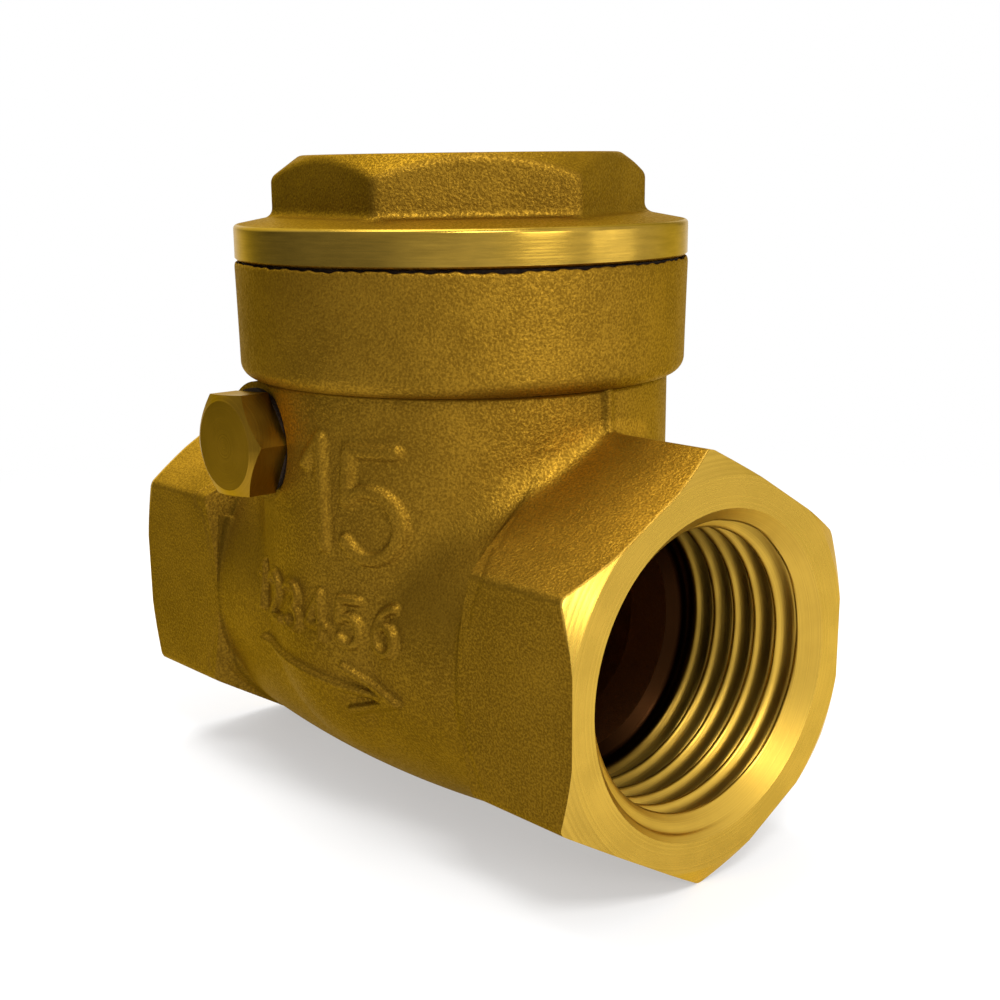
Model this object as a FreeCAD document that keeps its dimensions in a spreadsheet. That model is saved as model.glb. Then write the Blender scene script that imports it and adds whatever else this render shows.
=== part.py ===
import FreeCAD, Part
import math
import os

import Sketcher

# Brass horizontal swing check valve with female pipe threads at both ends.
# Frame: +X is the flow direction, +Z runs up the bonnet axis, -Y faces the hinge plug.
# The origin is the centre of the inlet thread's outer end, on the flow line.
# Lengths are in millimetres and angles in degrees.
SIZES = {
    # Ends: hexagons with one corner up, for a half-inch pipe thread
    "inlet_reach": 24.9,
    "outlet_reach": 24.5,
    "hex_flats": 25.4,
    "hex_length": 9.1,
    "hex_edge_round": 0.7,
    "face_radius": 13.0,
    "face_corner_angle": 31,
    "shoulder_angle": 33,
    "mouth_radius": 10.9,
    "mouth_depth": 1.6,
    "thread_radius": 9.316,
    "thread_length": 9.6,
    # Body shell
    "barrel_end_radius": 12.45,
    "barrel_bulge_radius": 113,
    "neck_set_back": 1.31,
    "bowl_depth": 12.2,
    "bowl_round": 12.5,
    "collar_base": 17.4,
    "collar_radius": 15.96,
    "collar_taper": 0.12,
    "collar_top": 25,
    "collar_round": 1.1,
    "neck_fillet": 0.3,
    # Hollow of the body
    "collar_wall": 2.51,
    "bonnet_bore_depth": 6.9,
    "shelf_width": 1.05,
    "chamber_depth": 10.2,
    "sump_round": 9.5,
    "port_radius": 6.4,
    "port_lead_depth": 1.75,
    "outlet_lead_depth": 0.8,
    # Seat, tilted so that the disc hangs against it
    "seat_distance": 7.3,
    "seat_tilt": 7,
    "seat_radius": 8.6,
    "seat_lip_depth": 3.5,
    "seat_wall_distance": 9.6,
    "seat_wall_radius": 10.9,
    # Hinge
    "pivot_back": 5.4,
    "pivot_height": 13.2,
    "pin_radius": 1.25,
    "pin_far_wall": 2.45,
    "pin_end_chamfer": 0.25,
    "pin_hole_clearance": 0.03,
    "pin_end_gap": 0.3,
    "pin_socket_gap": 0.2,
    "hub_clearance": 0.07,
    "hub_radius": 2.5,
    "hub_side_gap": 0.76,
    "hub_chamfer": 0.4,
    # Boss and plug that close the pin hole
    "boss_radius": 4.15,
    "boss_set_back": 1.96,
    "plug_flats": 6.95,
    "plug_head_height": 2.6,
    "plug_head_turn": 3.8,
    "plug_head_chamfer": 0.45,
    "plug_face_radius": 3.1,
    "plug_stem_radius": 2.95,
    "plug_stem_length": 2.8,
    "plug_hole_clearance": 0.05,
    "plug_socket_depth": 1.6,
    "plug_washer_radius": 3.7,
    "plug_washer_thickness": 0.4,
    # Arm and disc
    "arm_thickness": 2,
    "arm_root_width": 9,
    "arm_tip_width": 6.4,
    "eye_radius": 4.2,
    "eye_clearance": 0.1,
    "eye_play": 0.1,
    "disc_radius": 8.2,
    "disc_side_clearance": 0.3,
    "disc_thickness": 2.6,
    "disc_edge_chamfer": 0.5,
    "shoulder_radius": 3.4,
    "shoulder_height": 0.6,
    "stud_radius": 2,
    "stud_length": 5.5,
    "stud_chamfer": 0.3,
    "seal_inner_radius": 5.6,
    "seal_outer_radius": 7.7,
    "seal_groove_depth": 1.2,
    "seal_proud": 0.3,
    "seal_side_clearance": 0.05,
    "seat_gap": 0.02,
    "washer_radius": 3.6,
    "washer_thickness": 0.5,
    "nut_flats": 7,
    "nut_height": 2.2,
    "nut_face_radius": 3.35,
    "nut_clearance": 0.03,
    # Bonnet
    "gasket_thickness": 0.45,
    "gasket_set_back": 0.56,
    "gasket_side_clearance": 0.15,
    "flange_set_back": 0.04,
    "flange_thickness": 2.4,
    "flange_crown_height": 0.5,
    "flange_edge_chamfer": 0.2,
    "spigot_clearance": 0.1,
    "spigot_length": 6.3,
    "spigot_chamfer": 0.8,
    "spigot_wall": 2.55,
    "bonnet_hollow_depth": 6.8,
    "bonnet_crown_slope": 2.6,
    "bonnet_crown_depth": 2.6,
    "bonnet_flats": 23.05,
    "bonnet_turn": -4.8,
    "bonnet_hex_height": 4.1,
    "bonnet_corner_angle": 35.6,
    "bonnet_top_set_in": 0.375,
    "bonnet_edge_round": 0.5,
}

doc = FreeCAD.newDocument("CheckValve")
sheet = doc.addObject("Spreadsheet::Sheet", "Sizes")
for row, (alias, size) in enumerate(SIZES.items(), start=1):
    sheet.set("A%d" % row, alias)
    sheet.set("B%d" % row, str(size))
    sheet.setAlias("B%d" % row, alias)
doc.recompute()


def sized(text):
    """Turn the size names in an expression into references to the sheet."""
    words = []
    word = ""
    for letter in text + " ":
        if letter.isalnum() or letter == "_":
            word += letter
            continue
        words.append("Sizes." + word if word in SIZES else word)
        words.append(letter)
        word = ""
    return "".join(words).strip()


def number(text):
    """Work out an expression with the sheet's present values."""
    found = sheet.evalExpression(sized(text))
    return float(getattr(found, "Value", found))


# Places that several pieces share
ORIGIN_SHIFT = "(inlet_reach - mouth_depth)"
PIVOT_TO_SEAT = "(seat_distance - pivot_back)"
ARM_REACH = "(pivot_height * cos(seat_tilt) - %s * sin(seat_tilt))" % PIVOT_TO_SEAT
SEAT_OFFSET = "(pivot_height * sin(seat_tilt) + %s * cos(seat_tilt))" % PIVOT_TO_SEAT
DISC_BACK = "(seat_gap + seal_proud + disc_thickness)"
ARM_FACE = "(%s + shoulder_height + eye_play)" % DISC_BACK
WASHER_FACE = "(%s + arm_thickness + eye_play)" % ARM_FACE
OUTLET_RADIUS = "(disc_radius + disc_side_clearance)"
NECK_RADIUS = "(collar_radius - neck_set_back)"
BONNET_BORE = "(collar_radius - collar_wall)"
CHAMBER_RADIUS = "(%s - shelf_width)" % BONNET_BORE
HUB_CORNER_WALL = "sqrt(%s ^ 2 - (pivot_back + hub_radius) ^ 2)" % CHAMBER_RADIUS
HUB_HALF = "(%s - hub_side_gap)" % HUB_CORNER_WALL
BOSS_REACH = "(collar_radius - boss_set_back)"
PLUG_SEAT = "(%s + plug_washer_thickness)" % BOSS_REACH
SOCKET_END = "(%s - plug_stem_length + plug_socket_depth)" % PLUG_SEAT
PIN_NEAR_END = "(%s - pin_socket_gap)" % SOCKET_END
PIN_FAR_END = "(%s - pin_far_wall)" % NECK_RADIUS
FLANGE_RADIUS = "(collar_radius - flange_set_back)"
SPIGOT_RADIUS = "(%s - spigot_clearance)" % BONNET_BORE
BONNET_HOLLOW = "(%s - spigot_wall)" % SPIGOT_RADIUS


def bind(target, path, text):
    """Bind one property of an object to an expression on the sheet."""
    target.setExpression(path, sized(text))


def new_body(label):
    """Start a sub-part whose label names its file."""
    body = doc.addObject("PartDesign::Body", label)
    body.Label = label
    return body


def place(body, across=None, up=None, turn_axis=None, turn=None, along_y=None):
    """Bind a sub-part's placement in the frame of the whole valve."""
    if turn_axis:
        body.Placement = FreeCAD.Placement(
            FreeCAD.Vector(), FreeCAD.Rotation(turn_axis, number(turn))
        )
        bind(body, "Placement.Rotation.Angle", turn)
    bind(body, "Placement.Base.x", across or ORIGIN_SHIFT)
    if along_y:
        bind(body, "Placement.Base.y", along_y)
    if up:
        bind(body, "Placement.Base.z", up)


def new_sketch(body, name, role, offset=None):
    """Attach an empty sketch to one of the body's own origin planes."""
    sketch = body.newObject("Sketcher::SketchObject", name)
    plane = [part for part in body.Origin.OriginFeatures if part.Role == role][0]
    sketch.AttachmentSupport = (plane, [""])
    sketch.MapMode = "FlatFace"
    if offset:
        bind(sketch, "AttachmentOffset.Base.z", offset)
    return sketch


def fix_point(sketch, edge, end, corner):
    """Hold one end of an edge at a place given by two expressions."""
    for kind, text in zip(("DistanceX", "DistanceY"), corner):
        row = sketch.addConstraint(
            Sketcher.Constraint(kind, edge, end, number(text))
        )
        sketch.setExpression("Constraints[%d]" % row, sized(text))


def arc_between(start, end, radius, hollow):
    """Arc between two points, bulging left of the way it runs, or right where it is hollow."""
    chord = end - start
    side = FreeCAD.Vector(-chord.y, chord.x, 0).normalize() * (-1 if hollow else 1)
    depth = math.sqrt(max(radius**2 - (chord.Length / 2) ** 2, 0))
    centre = (start + end) * 0.5 - side * depth
    return Part.Arc(start, centre + side * radius, end)


def outline(body, name, role, corners, offset=None):
    """Closed clockwise sketch through corners given as pairs of expressions.

    A corner's third entry is the radius of the arc that starts there, and a fourth makes it hollow.
    """
    sketch = new_sketch(body, name, role, offset)
    points = [FreeCAD.Vector(number(corner[0]), number(corner[1]), 0) for corner in corners]
    starts = []
    for corner, point, following in zip(corners, points, points[1:] + points[:1]):
        if len(corner) > 2:
            hollow = len(corner) > 3
            arc = arc_between(point, following, number(corner[2]), hollow)
            edge = sketch.addGeometry(arc)
            row = sketch.addConstraint(
                Sketcher.Constraint("Radius", edge, number(corner[2]))
            )
            sketch.setExpression("Constraints[%d]" % row, sized(corner[2]))
            starts.append((edge, 1, 2) if hollow else (edge, 2, 1))
        else:
            edge = sketch.addGeometry(Part.LineSegment(point, following))
            starts.append((edge, 1, 2))
    for index, (edge, first, last) in enumerate(starts):
        other, other_first, _ = starts[(index + 1) % len(starts)]
        sketch.addConstraint(
            Sketcher.Constraint("Coincident", edge, last, other, other_first)
        )
        fix_point(sketch, edge, first, corners[index][:2])
    return sketch


def circle(body, name, role, centre, radius, offset=None):
    """Sketch of one circle whose centre and radius are expressions."""
    sketch = new_sketch(body, name, role, offset)
    middle = FreeCAD.Vector(number(centre[0]), number(centre[1]), 0)
    normal = FreeCAD.Vector(0, 0, 1)
    sketch.addGeometry(Part.Circle(middle, normal, number(radius)))
    row = sketch.addConstraint(Sketcher.Constraint("Radius", 0, number(radius)))
    sketch.setExpression("Constraints[%d]" % row, sized(radius))
    fix_point(sketch, 0, 3, centre)
    return sketch


def hexagon(body, name, role, flats, offset=None, turn="0"):
    """Sketch of a hexagon with one corner on the sketch's first axis, then turned."""
    corners = []
    for corner in range(6):
        angle = "(%d + %s)" % (60 * corner, turn)
        reach = "%s / sqrt(3)" % flats
        corners.append(("%s * cos(%s)" % (reach, angle), "%s * sin(%s)" % (reach, angle)))
    return outline(body, name, role, corners, offset)


def extrude(body, kind, name, sketch, length, reverse=False, midplane=False):
    """Pad or pocket a sketch by an expression's length."""
    feature = body.newObject("PartDesign::" + kind, name)
    feature.Profile = sketch
    feature.Reversed = reverse
    feature.Midplane = midplane
    bind(feature, "Length", length)
    doc.recompute()
    return feature


def turned(body, kind, name, sketch, axis):
    """Revolve or groove a sketch a full turn about one of its own axes."""
    feature = body.newObject("PartDesign::" + kind, name)
    feature.Profile = sketch
    feature.ReferenceAxis = (sketch, [axis])
    feature.Angle = 360
    doc.recompute()
    return feature


def dress(body, kind, name, size, chosen, size_property):
    """Fillet or chamfer the edges of the body's tip that chosen accepts."""
    base = body.Tip
    names = [
        "Edge%d" % index
        for index, edge in enumerate(base.Shape.Edges, start=1)
        if chosen(edge)
    ]
    feature = body.newObject("PartDesign::" + kind, name)
    feature.Base = (base, names)
    bind(feature, size_property, size)
    doc.recompute()
    return feature


def is_circle(edge, radius, axis, height):
    """Whether an edge is a circle of this radius, this far along the axis."""
    if not isinstance(edge.Curve, Part.Circle):
        return False
    near = abs(edge.Curve.Radius - radius) < 1e-4
    return near and abs(getattr(edge.Curve.Center, axis) - height) < 1e-4


def hex_end(body, name, reach, side):
    """Hexagonal end with turned corners; side is + for the outlet, - for the inlet."""
    corner = "hex_flats / sqrt(3)"
    rim = "(hex_flats * 0.65)"
    inner = "(%s - hex_length)" % reach
    taper = "(%s - barrel_end_radius) * tan(shoulder_angle)" % corner
    root = "(%s - %s)" % (inner, taper)
    sketch = hexagon(body, name + "Hexagon", "YZ_Plane", "hex_flats", side + root, "90")
    extrude(body, "Pad", name + "Hex", sketch, reach + " - " + root, reverse=side == "-")

    def is_hex_corner(edge):
        box = edge.BoundBox
        straight = box.YLength < 1e-4 and box.ZLength < 1e-4
        here = (box.Center.x > 0) == (side == "+")
        reach_out = math.hypot(box.Center.y, box.Center.z)
        return straight and here and abs(reach_out - number(corner)) < 1e-3

    dress(body, "Fillet", name + "HexEdges", "hex_edge_round", is_hex_corner, "Radius")
    cuts = {
        "Corners": [
            (reach, "face_radius"),
            (reach, rim),
            ("(%s - (%s - face_radius) * tan(face_corner_angle))" % (reach, rim), rim),
        ],
        "Shoulder": [
            (root, "barrel_end_radius"),
            (root, rim),
            ("(%s + (%s - %s) * tan(shoulder_angle))" % (inner, rim, corner), rim),
        ],
    }
    for cut, corners in cuts.items():
        corners = [(side + along, out) for along, out in corners]
        sketch = outline(body, name + cut + "Outline", "XZ_Plane", corners)
        turned(body, "Groove", name + cut, sketch, "H_Axis")


def make_valve_body():
    """Forged body: hexagonal ends, bellied barrel, neck, collar, hinge boss and hollow."""
    body = new_body("valve_body")
    place(body)

    ends = [
        ("-(inlet_reach - hex_length)", "0"),
        ("-(inlet_reach - hex_length)", "barrel_end_radius", "barrel_bulge_radius"),
        ("outlet_reach - hex_length", "barrel_end_radius"),
        ("outlet_reach - hex_length", "0"),
    ]
    sketch = outline(body, "BarrelOutline", "XZ_Plane", ends)
    turned(body, "Revolution", "Barrel", sketch, "H_Axis")
    hex_end(body, "Inlet", "inlet_reach", "-")
    hex_end(body, "Outlet", "outlet_reach", "+")

    foot = "collar_radius - collar_taper"
    neck = [
        ("0", "collar_top"),
        ("collar_radius", "collar_top"),
        (foot, "collar_base + collar_round", "collar_round"),
        (foot + " - collar_round", "collar_base"),
        (NECK_RADIUS + " + neck_fillet", "collar_base", "neck_fillet", "hollow"),
        (NECK_RADIUS, "collar_base - neck_fillet"),
        (NECK_RADIUS, "bowl_round - bowl_depth", "bowl_round"),
        (NECK_RADIUS + " - bowl_round", "-bowl_depth"),
        ("0", "-bowl_depth"),
    ]
    sketch = outline(body, "NeckOutline", "XZ_Plane", neck)
    turned(body, "Revolution", "Neck", sketch, "V_Axis")

    pivot = ("-pivot_back", "pivot_height")
    inward = "(%s - boss_radius)" % CHAMBER_RADIUS
    sketch = circle(body, "BossCircle", "XZ_Plane", pivot, "boss_radius", BOSS_REACH)
    extrude(body, "Pad", "Boss", sketch, BOSS_REACH + " - " + inward, reverse=True)
    sketch = circle(
        body, "SpotFaceCircle", "XZ_Plane", pivot, "boss_radius", "collar_radius"
    )
    extrude(body, "Pocket", "SpotFace", sketch, "boss_set_back")

    above = "(collar_top + collar_round)"
    shelf = "(collar_top - bonnet_bore_depth)"
    hollow = [
        ("0", above),
        (BONNET_BORE, above),
        (BONNET_BORE, shelf),
        (CHAMBER_RADIUS, shelf),
        (CHAMBER_RADIUS, "sump_round - chamber_depth", "sump_round"),
        (CHAMBER_RADIUS + " - sump_round", "-chamber_depth"),
        ("0", "-chamber_depth"),
    ]
    sketch = outline(body, "ChamberOutline", "XZ_Plane", hollow)
    turned(body, "Groove", "Chamber", sketch, "V_Axis")

    thread_end = "(inlet_reach - mouth_depth - thread_length)"
    sketch = circle(
        body, "SeatWallCircle", "YZ_Plane", ("0", "0"), "seat_wall_radius", "-seat_wall_distance"
    )
    extrude(body, "Pad", "SeatWall", sketch, thread_end + " - seat_wall_distance", reverse=True)
    beyond = "(mouth_radius + mouth_depth * 0.5)"
    outlet_end = "(outlet_reach - mouth_depth - thread_length)"
    outlet = [
        ("outlet_reach + mouth_depth * 0.5", "0"),
        ("outlet_reach + mouth_depth * 0.5", beyond),
        ("outlet_reach - mouth_depth", "thread_radius"),
        (outlet_end, "thread_radius"),
        (outlet_end + " - outlet_lead_depth", OUTLET_RADIUS),
        ("-seat_wall_distance", OUTLET_RADIUS),
        ("-seat_wall_distance", "0"),
    ]
    turned(body, "Groove", "OutletBore", outline(body, "OutletOutline", "XZ_Plane", outlet), "H_Axis")
    lip = body.newObject("PartDesign::AdditiveCylinder", "SeatLip")
    lip.Placement = FreeCAD.Placement(
        FreeCAD.Vector(), FreeCAD.Rotation(FreeCAD.Vector(0, 1, 0), number("90 - seat_tilt"))
    )
    bind(lip, "Placement.Rotation.Angle", "90 - seat_tilt")
    bind(lip, "Placement.Base.x", "-seat_distance - seat_lip_depth * cos(seat_tilt)")
    bind(lip, "Placement.Base.z", "-seat_lip_depth * sin(seat_tilt)")
    bind(lip, "Radius", "seat_radius")
    bind(lip, "Height", "seat_lip_depth")
    doc.recompute()

    inlet = [
        ("-(inlet_reach + mouth_depth * 0.5)", "0"),
        ("-(inlet_reach + mouth_depth * 0.5)", beyond),
        ("-(inlet_reach - mouth_depth)", "thread_radius"),
        ("-" + thread_end, "thread_radius"),
        ("-(%s - port_lead_depth)" % thread_end, "port_radius"),
        ("-(seat_distance - seat_lip_depth)", "port_radius"),
        ("-(seat_distance - seat_lip_depth)", "0"),
    ]
    turned(body, "Groove", "InletBore", outline(body, "InletOutline", "XZ_Plane", inlet), "H_Axis")

    plug_hole = "plug_stem_radius + plug_hole_clearance"
    sketch = circle(body, "PlugHoleCircle", "XZ_Plane", pivot, plug_hole, BOSS_REACH)
    extrude(body, "Pocket", "PlugHole", sketch, BOSS_REACH + " - " + HUB_HALF)
    pin_hole = "pin_radius + pin_hole_clearance"
    sketch = circle(body, "PinHoleCircle", "XZ_Plane", pivot, pin_hole, "-" + HUB_HALF)
    depth = "%s + pin_end_gap - %s" % (PIN_FAR_END, HUB_HALF)
    extrude(body, "Pocket", "PinHole", sketch, depth)
    return body


def make_bonnet():
    """Screwed bonnet: spigot, machined flange with a crowned top, and hexagon."""
    body = new_body("bonnet")
    place(body, up="collar_top + gasket_thickness")
    crown = "flange_thickness + flange_crown_height"
    rim = [
        ("0", "0"),
        (FLANGE_RADIUS + " - flange_edge_chamfer", "0"),
        (FLANGE_RADIUS, "flange_edge_chamfer"),
        (FLANGE_RADIUS, "flange_thickness"),
        ("bonnet_flats / sqrt(3)", crown),
        ("0", crown),
    ]
    turned(body, "Revolution", "Flange", outline(body, "FlangeOutline", "XZ_Plane", rim), "V_Axis")
    spigot = [
        ("0", "0"),
        ("0", "-spigot_length"),
        (SPIGOT_RADIUS + " - spigot_chamfer", "-spigot_length"),
        (SPIGOT_RADIUS, "-spigot_length + spigot_chamfer"),
        (SPIGOT_RADIUS, "0"),
    ]
    sketch = outline(body, "SpigotOutline", "XZ_Plane", spigot)
    turned(body, "Revolution", "Spigot", sketch, "V_Axis")
    sketch = hexagon(body, "TopHexagon", "XY_Plane", "bonnet_flats", crown, "bonnet_turn")
    extrude(body, "Pad", "TopHex", sketch, "bonnet_hex_height")

    def is_upright_corner(edge):
        box = edge.BoundBox
        upright = box.XLength < 1e-4 and box.YLength < 1e-4
        return upright and box.ZLength > number("bonnet_hex_height") * 0.9

    dress(body, "Fillet", "HexEdges", "bonnet_edge_round", is_upright_corner, "Radius")
    top = "(%s + bonnet_hex_height)" % crown
    out = "(bonnet_flats * 0.65)"
    flat = "(bonnet_flats / 2 - bonnet_top_set_in)"
    corners = [(flat, top), (out, top)]
    corners.append((out, "%s - (%s - %s) * tan(bonnet_corner_angle)" % (top, out, flat)))
    turned(body, "Groove", "TopCorners", outline(body, "TopCornerOutline", "XZ_Plane", corners), "V_Axis")
    ceiling = "(bonnet_hollow_depth + bonnet_crown_depth - spigot_length)"
    hollow = [
        ("0", "-spigot_length * 1.5"),
        (BONNET_HOLLOW, "-spigot_length * 1.5"),
        (BONNET_HOLLOW, "bonnet_hollow_depth - spigot_length"),
        (BONNET_HOLLOW + " - bonnet_crown_slope", ceiling),
        ("0", ceiling),
    ]
    turned(body, "Groove", "Hollow", outline(body, "HollowOutline", "XZ_Plane", hollow), "V_Axis")
    return body


def make_ring(label, inner, outer, thickness):
    """Flat ring from z = 0 up to its thickness, before it is placed."""
    body = new_body(label)
    corners = [(inner, "0"), (outer, "0"), (outer, thickness), (inner, thickness)]
    turned(body, "Revolution", "Ring", outline(body, "Section", "XZ_Plane", corners), "V_Axis")
    return body


def make_gasket():
    """Flat gasket between collar and flange, set back from the rim."""
    inner = BONNET_BORE + " + gasket_side_clearance"
    outer = "collar_radius - gasket_set_back"
    body = make_ring("bonnet_gasket", inner, outer, "gasket_thickness")
    place(body, up="collar_top")
    return body


def place_at_boss(body, outward):
    """Stand a sub-part on the pin axis with its own +Z pointing out of the boss."""
    across = ORIGIN_SHIFT + " - pivot_back"
    place(body, across, "pivot_height", FreeCAD.Vector(1, 0, 0), "90", "-(%s)" % outward)


def make_plug():
    """Hexagon-headed plug that closes the pin hole and holds the pin's near end."""
    body = new_body("pin_plug")
    place_at_boss(body, PLUG_SEAT)
    sketch = hexagon(body, "HeadHexagon", "XY_Plane", "plug_flats", turn="plug_head_turn")
    extrude(body, "Pad", "Head", sketch, "plug_head_height")
    out = "(plug_flats * 0.65)"
    slope = "plug_head_chamfer / (plug_flats / sqrt(3) - plug_face_radius)"
    corners = [("plug_face_radius", "plug_head_height"), (out, "plug_head_height")]
    corners.append((out, "plug_head_height - (%s - plug_face_radius) * %s" % (out, slope)))
    turned(body, "Groove", "HeadCorners", outline(body, "HeadCornerOutline", "XZ_Plane", corners), "V_Axis")
    sketch = circle(body, "StemCircle", "XY_Plane", ("0", "0"), "plug_stem_radius")
    extrude(body, "Pad", "Stem", sketch, "plug_stem_length", reverse=True)
    socket = "pin_radius + pin_hole_clearance"
    sketch = circle(body, "SocketCircle", "XY_Plane", ("0", "0"), socket, "-plug_stem_length")
    extrude(body, "Pocket", "Socket", sketch, "plug_socket_depth", reverse=True)
    return body


def make_plug_washer():
    """Sealing washer under the plug's head."""
    inner = "plug_stem_radius + plug_hole_clearance"
    body = make_ring("plug_washer", inner, "plug_washer_radius", "plug_washer_thickness")
    place_at_boss(body, BOSS_REACH)
    return body


def make_pin():
    """Plain hinge pin, from the plug's socket to the blind hole."""
    body = new_body("hinge_pin")
    place_at_boss(body, "0")
    corners = [
        ("0", "-" + PIN_FAR_END),
        ("pin_radius - pin_end_chamfer", "-" + PIN_FAR_END),
        ("pin_radius", "pin_end_chamfer - " + PIN_FAR_END),
        ("pin_radius", PIN_NEAR_END + " - pin_end_chamfer"),
        ("pin_radius - pin_end_chamfer", PIN_NEAR_END),
        ("0", PIN_NEAR_END),
    ]
    turned(body, "Revolution", "Pin", outline(body, "PinOutline", "XZ_Plane", corners), "V_Axis")
    return body


def make_arm():
    """T-shaped arm: a long hub on the pin and an eye that carries the disc's stud."""
    body = new_body("hinge_arm")
    across = ORIGIN_SHIFT + " - pivot_back"
    place(body, across, "pivot_height", FreeCAD.Vector(0, 1, 0), "-seat_tilt")
    plate_start = "(%s - %s)" % (ARM_FACE, SEAT_OFFSET)
    eye = "-" + ARM_REACH
    sketch = circle(body, "HubCircle", "XZ_Plane", ("0", "0"), "hub_radius")
    extrude(body, "Pad", "Hub", sketch, HUB_HALF + " * 2", midplane=True)
    web = [
        ("-arm_root_width / 2", "0"),
        ("-arm_tip_width / 2", eye),
        ("arm_tip_width / 2", eye),
        ("arm_root_width / 2", "0"),
    ]
    sketch = outline(body, "WebOutline", "YZ_Plane", web, plate_start)
    extrude(body, "Pad", "Web", sketch, "arm_thickness")
    sketch = circle(body, "EyeCircle", "YZ_Plane", ("0", eye), "eye_radius", plate_start)
    extrude(body, "Pad", "Eye", sketch, "arm_thickness")

    def is_hub_end(edge):
        reach = number(HUB_HALF)
        low = is_circle(edge, number("hub_radius"), "y", -reach)
        return low or is_circle(edge, number("hub_radius"), "y", reach)

    dress(body, "Chamfer", "HubEnds", "hub_chamfer", is_hub_end, "Size")
    hole = "stud_radius + eye_clearance"
    sketch = circle(body, "EyeHoleCircle", "YZ_Plane", ("0", eye), hole, plate_start)
    extrude(body, "Pocket", "EyeHole", sketch, "arm_thickness", reverse=True)
    bore = "pin_radius + hub_clearance"
    sketch = circle(body, "HubBoreCircle", "XZ_Plane", ("0", "0"), bore)
    extrude(body, "Pocket", "HubBore", sketch, HUB_HALF + " * 2.2", midplane=True)
    return body


def place_on_seat(body, height=None):
    """Stand a sub-part on the seat's centre, its own +Z along the stud."""
    turn = "90 - seat_tilt"
    across = ORIGIN_SHIFT + " - seat_distance"
    up = None
    if height:
        across += " + (%s) * cos(seat_tilt)" % height
        up = "(%s) * sin(seat_tilt)" % height
    place(body, across, up, FreeCAD.Vector(0, 1, 0), turn)


def make_disc():
    """Turned disc with a face groove for the seal, a shoulder and a stud."""
    body = new_body("valve_disc")
    place_on_seat(body)
    face = "(seat_gap + seal_proud)"
    groove = "(%s + seal_groove_depth)" % face
    shoulder = "(%s + shoulder_height)" % DISC_BACK
    tip = "(%s + stud_length)" % shoulder
    corners = [
        ("0", face),
        ("seal_inner_radius - seal_side_clearance", face),
        ("seal_inner_radius - seal_side_clearance", groove),
        ("seal_outer_radius + seal_side_clearance", groove),
        ("seal_outer_radius + seal_side_clearance", face),
        ("disc_radius", face),
        ("disc_radius", DISC_BACK + " - disc_edge_chamfer"),
        ("disc_radius - disc_edge_chamfer", DISC_BACK),
        ("shoulder_radius", DISC_BACK),
        ("shoulder_radius", shoulder),
        ("stud_radius", shoulder),
        ("stud_radius", tip + " - stud_chamfer"),
        ("stud_radius - stud_chamfer", tip),
        ("0", tip),
    ]
    turned(body, "Revolution", "Disc", outline(body, "DiscOutline", "XZ_Plane", corners), "V_Axis")
    return body


def make_seal():
    """Soft ring in the disc's face groove, standing proud to meet the seat."""
    thickness = "seal_groove_depth + seal_proud"
    body = make_ring("disc_seal", "seal_inner_radius", "seal_outer_radius", thickness)
    place_on_seat(body, "seat_gap")
    return body


def make_disc_washer():
    """Washer between the arm's eye and the nut."""
    inner = "stud_radius + nut_clearance"
    body = make_ring("disc_washer", inner, "washer_radius", "washer_thickness")
    place_on_seat(body, WASHER_FACE)
    return body


def make_nut():
    """Hexagon nut on the stud, with turned outer corners."""
    body = new_body("disc_nut")
    place_on_seat(body, WASHER_FACE + " + washer_thickness")
    sketch = hexagon(body, "NutHexagon", "XY_Plane", "nut_flats")
    extrude(body, "Pad", "Hex", sketch, "nut_height")
    out = "(nut_flats * 0.65)"
    corners = [("nut_face_radius", "nut_height"), (out, "nut_height")]
    corners.append((out, "nut_height - (%s - nut_face_radius) * tan(30)" % out))
    turned(body, "Groove", "Corners", outline(body, "CornerOutline", "XZ_Plane", corners), "V_Axis")
    hole = "stud_radius + nut_clearance"
    sketch = circle(body, "HoleCircle", "XY_Plane", ("0", "0"), hole)
    extrude(body, "Pocket", "Hole", sketch, "nut_height", reverse=True)
    return body


MAKERS = (
    make_valve_body,
    make_bonnet,
    make_gasket,
    make_plug,
    make_plug_washer,
    make_pin,
    make_arm,
    make_disc,
    make_seal,
    make_disc_washer,
    make_nut,
)

sub_parts = [make() for make in MAKERS]
doc.recompute()

for item in doc.Objects:
    faults = {"Invalid", "Error"} & set(item.State)
    if faults:
        raise RuntimeError("%s (%s): %s" % (item.Label, item.Name, faults))
for sub_part in sub_parts:
    shape = sub_part.Shape
    if shape.isNull() or not shape.isValid() or len(shape.Solids) != 1:
        raise RuntimeError("%s has no sound solid" % sub_part.Label)

os.makedirs("parts", exist_ok=True)
for sub_part in sub_parts:
    sub_part.Shape.exportStep("parts/%s.step" % sub_part.Label)
    box = sub_part.Shape.BoundBox
    extents = (box.XMin, box.XMax, box.YMin, box.YMax, box.ZMin, box.ZMax)
    limits = " ".join("%.2f" % limit for limit in extents)
    print("%-14s %9.2f mm3, limits %s" % (sub_part.Label, sub_part.Shape.Volume, limits))
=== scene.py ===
import math

import bpy
import numpy as np
from mathutils import Matrix, Vector


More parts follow.
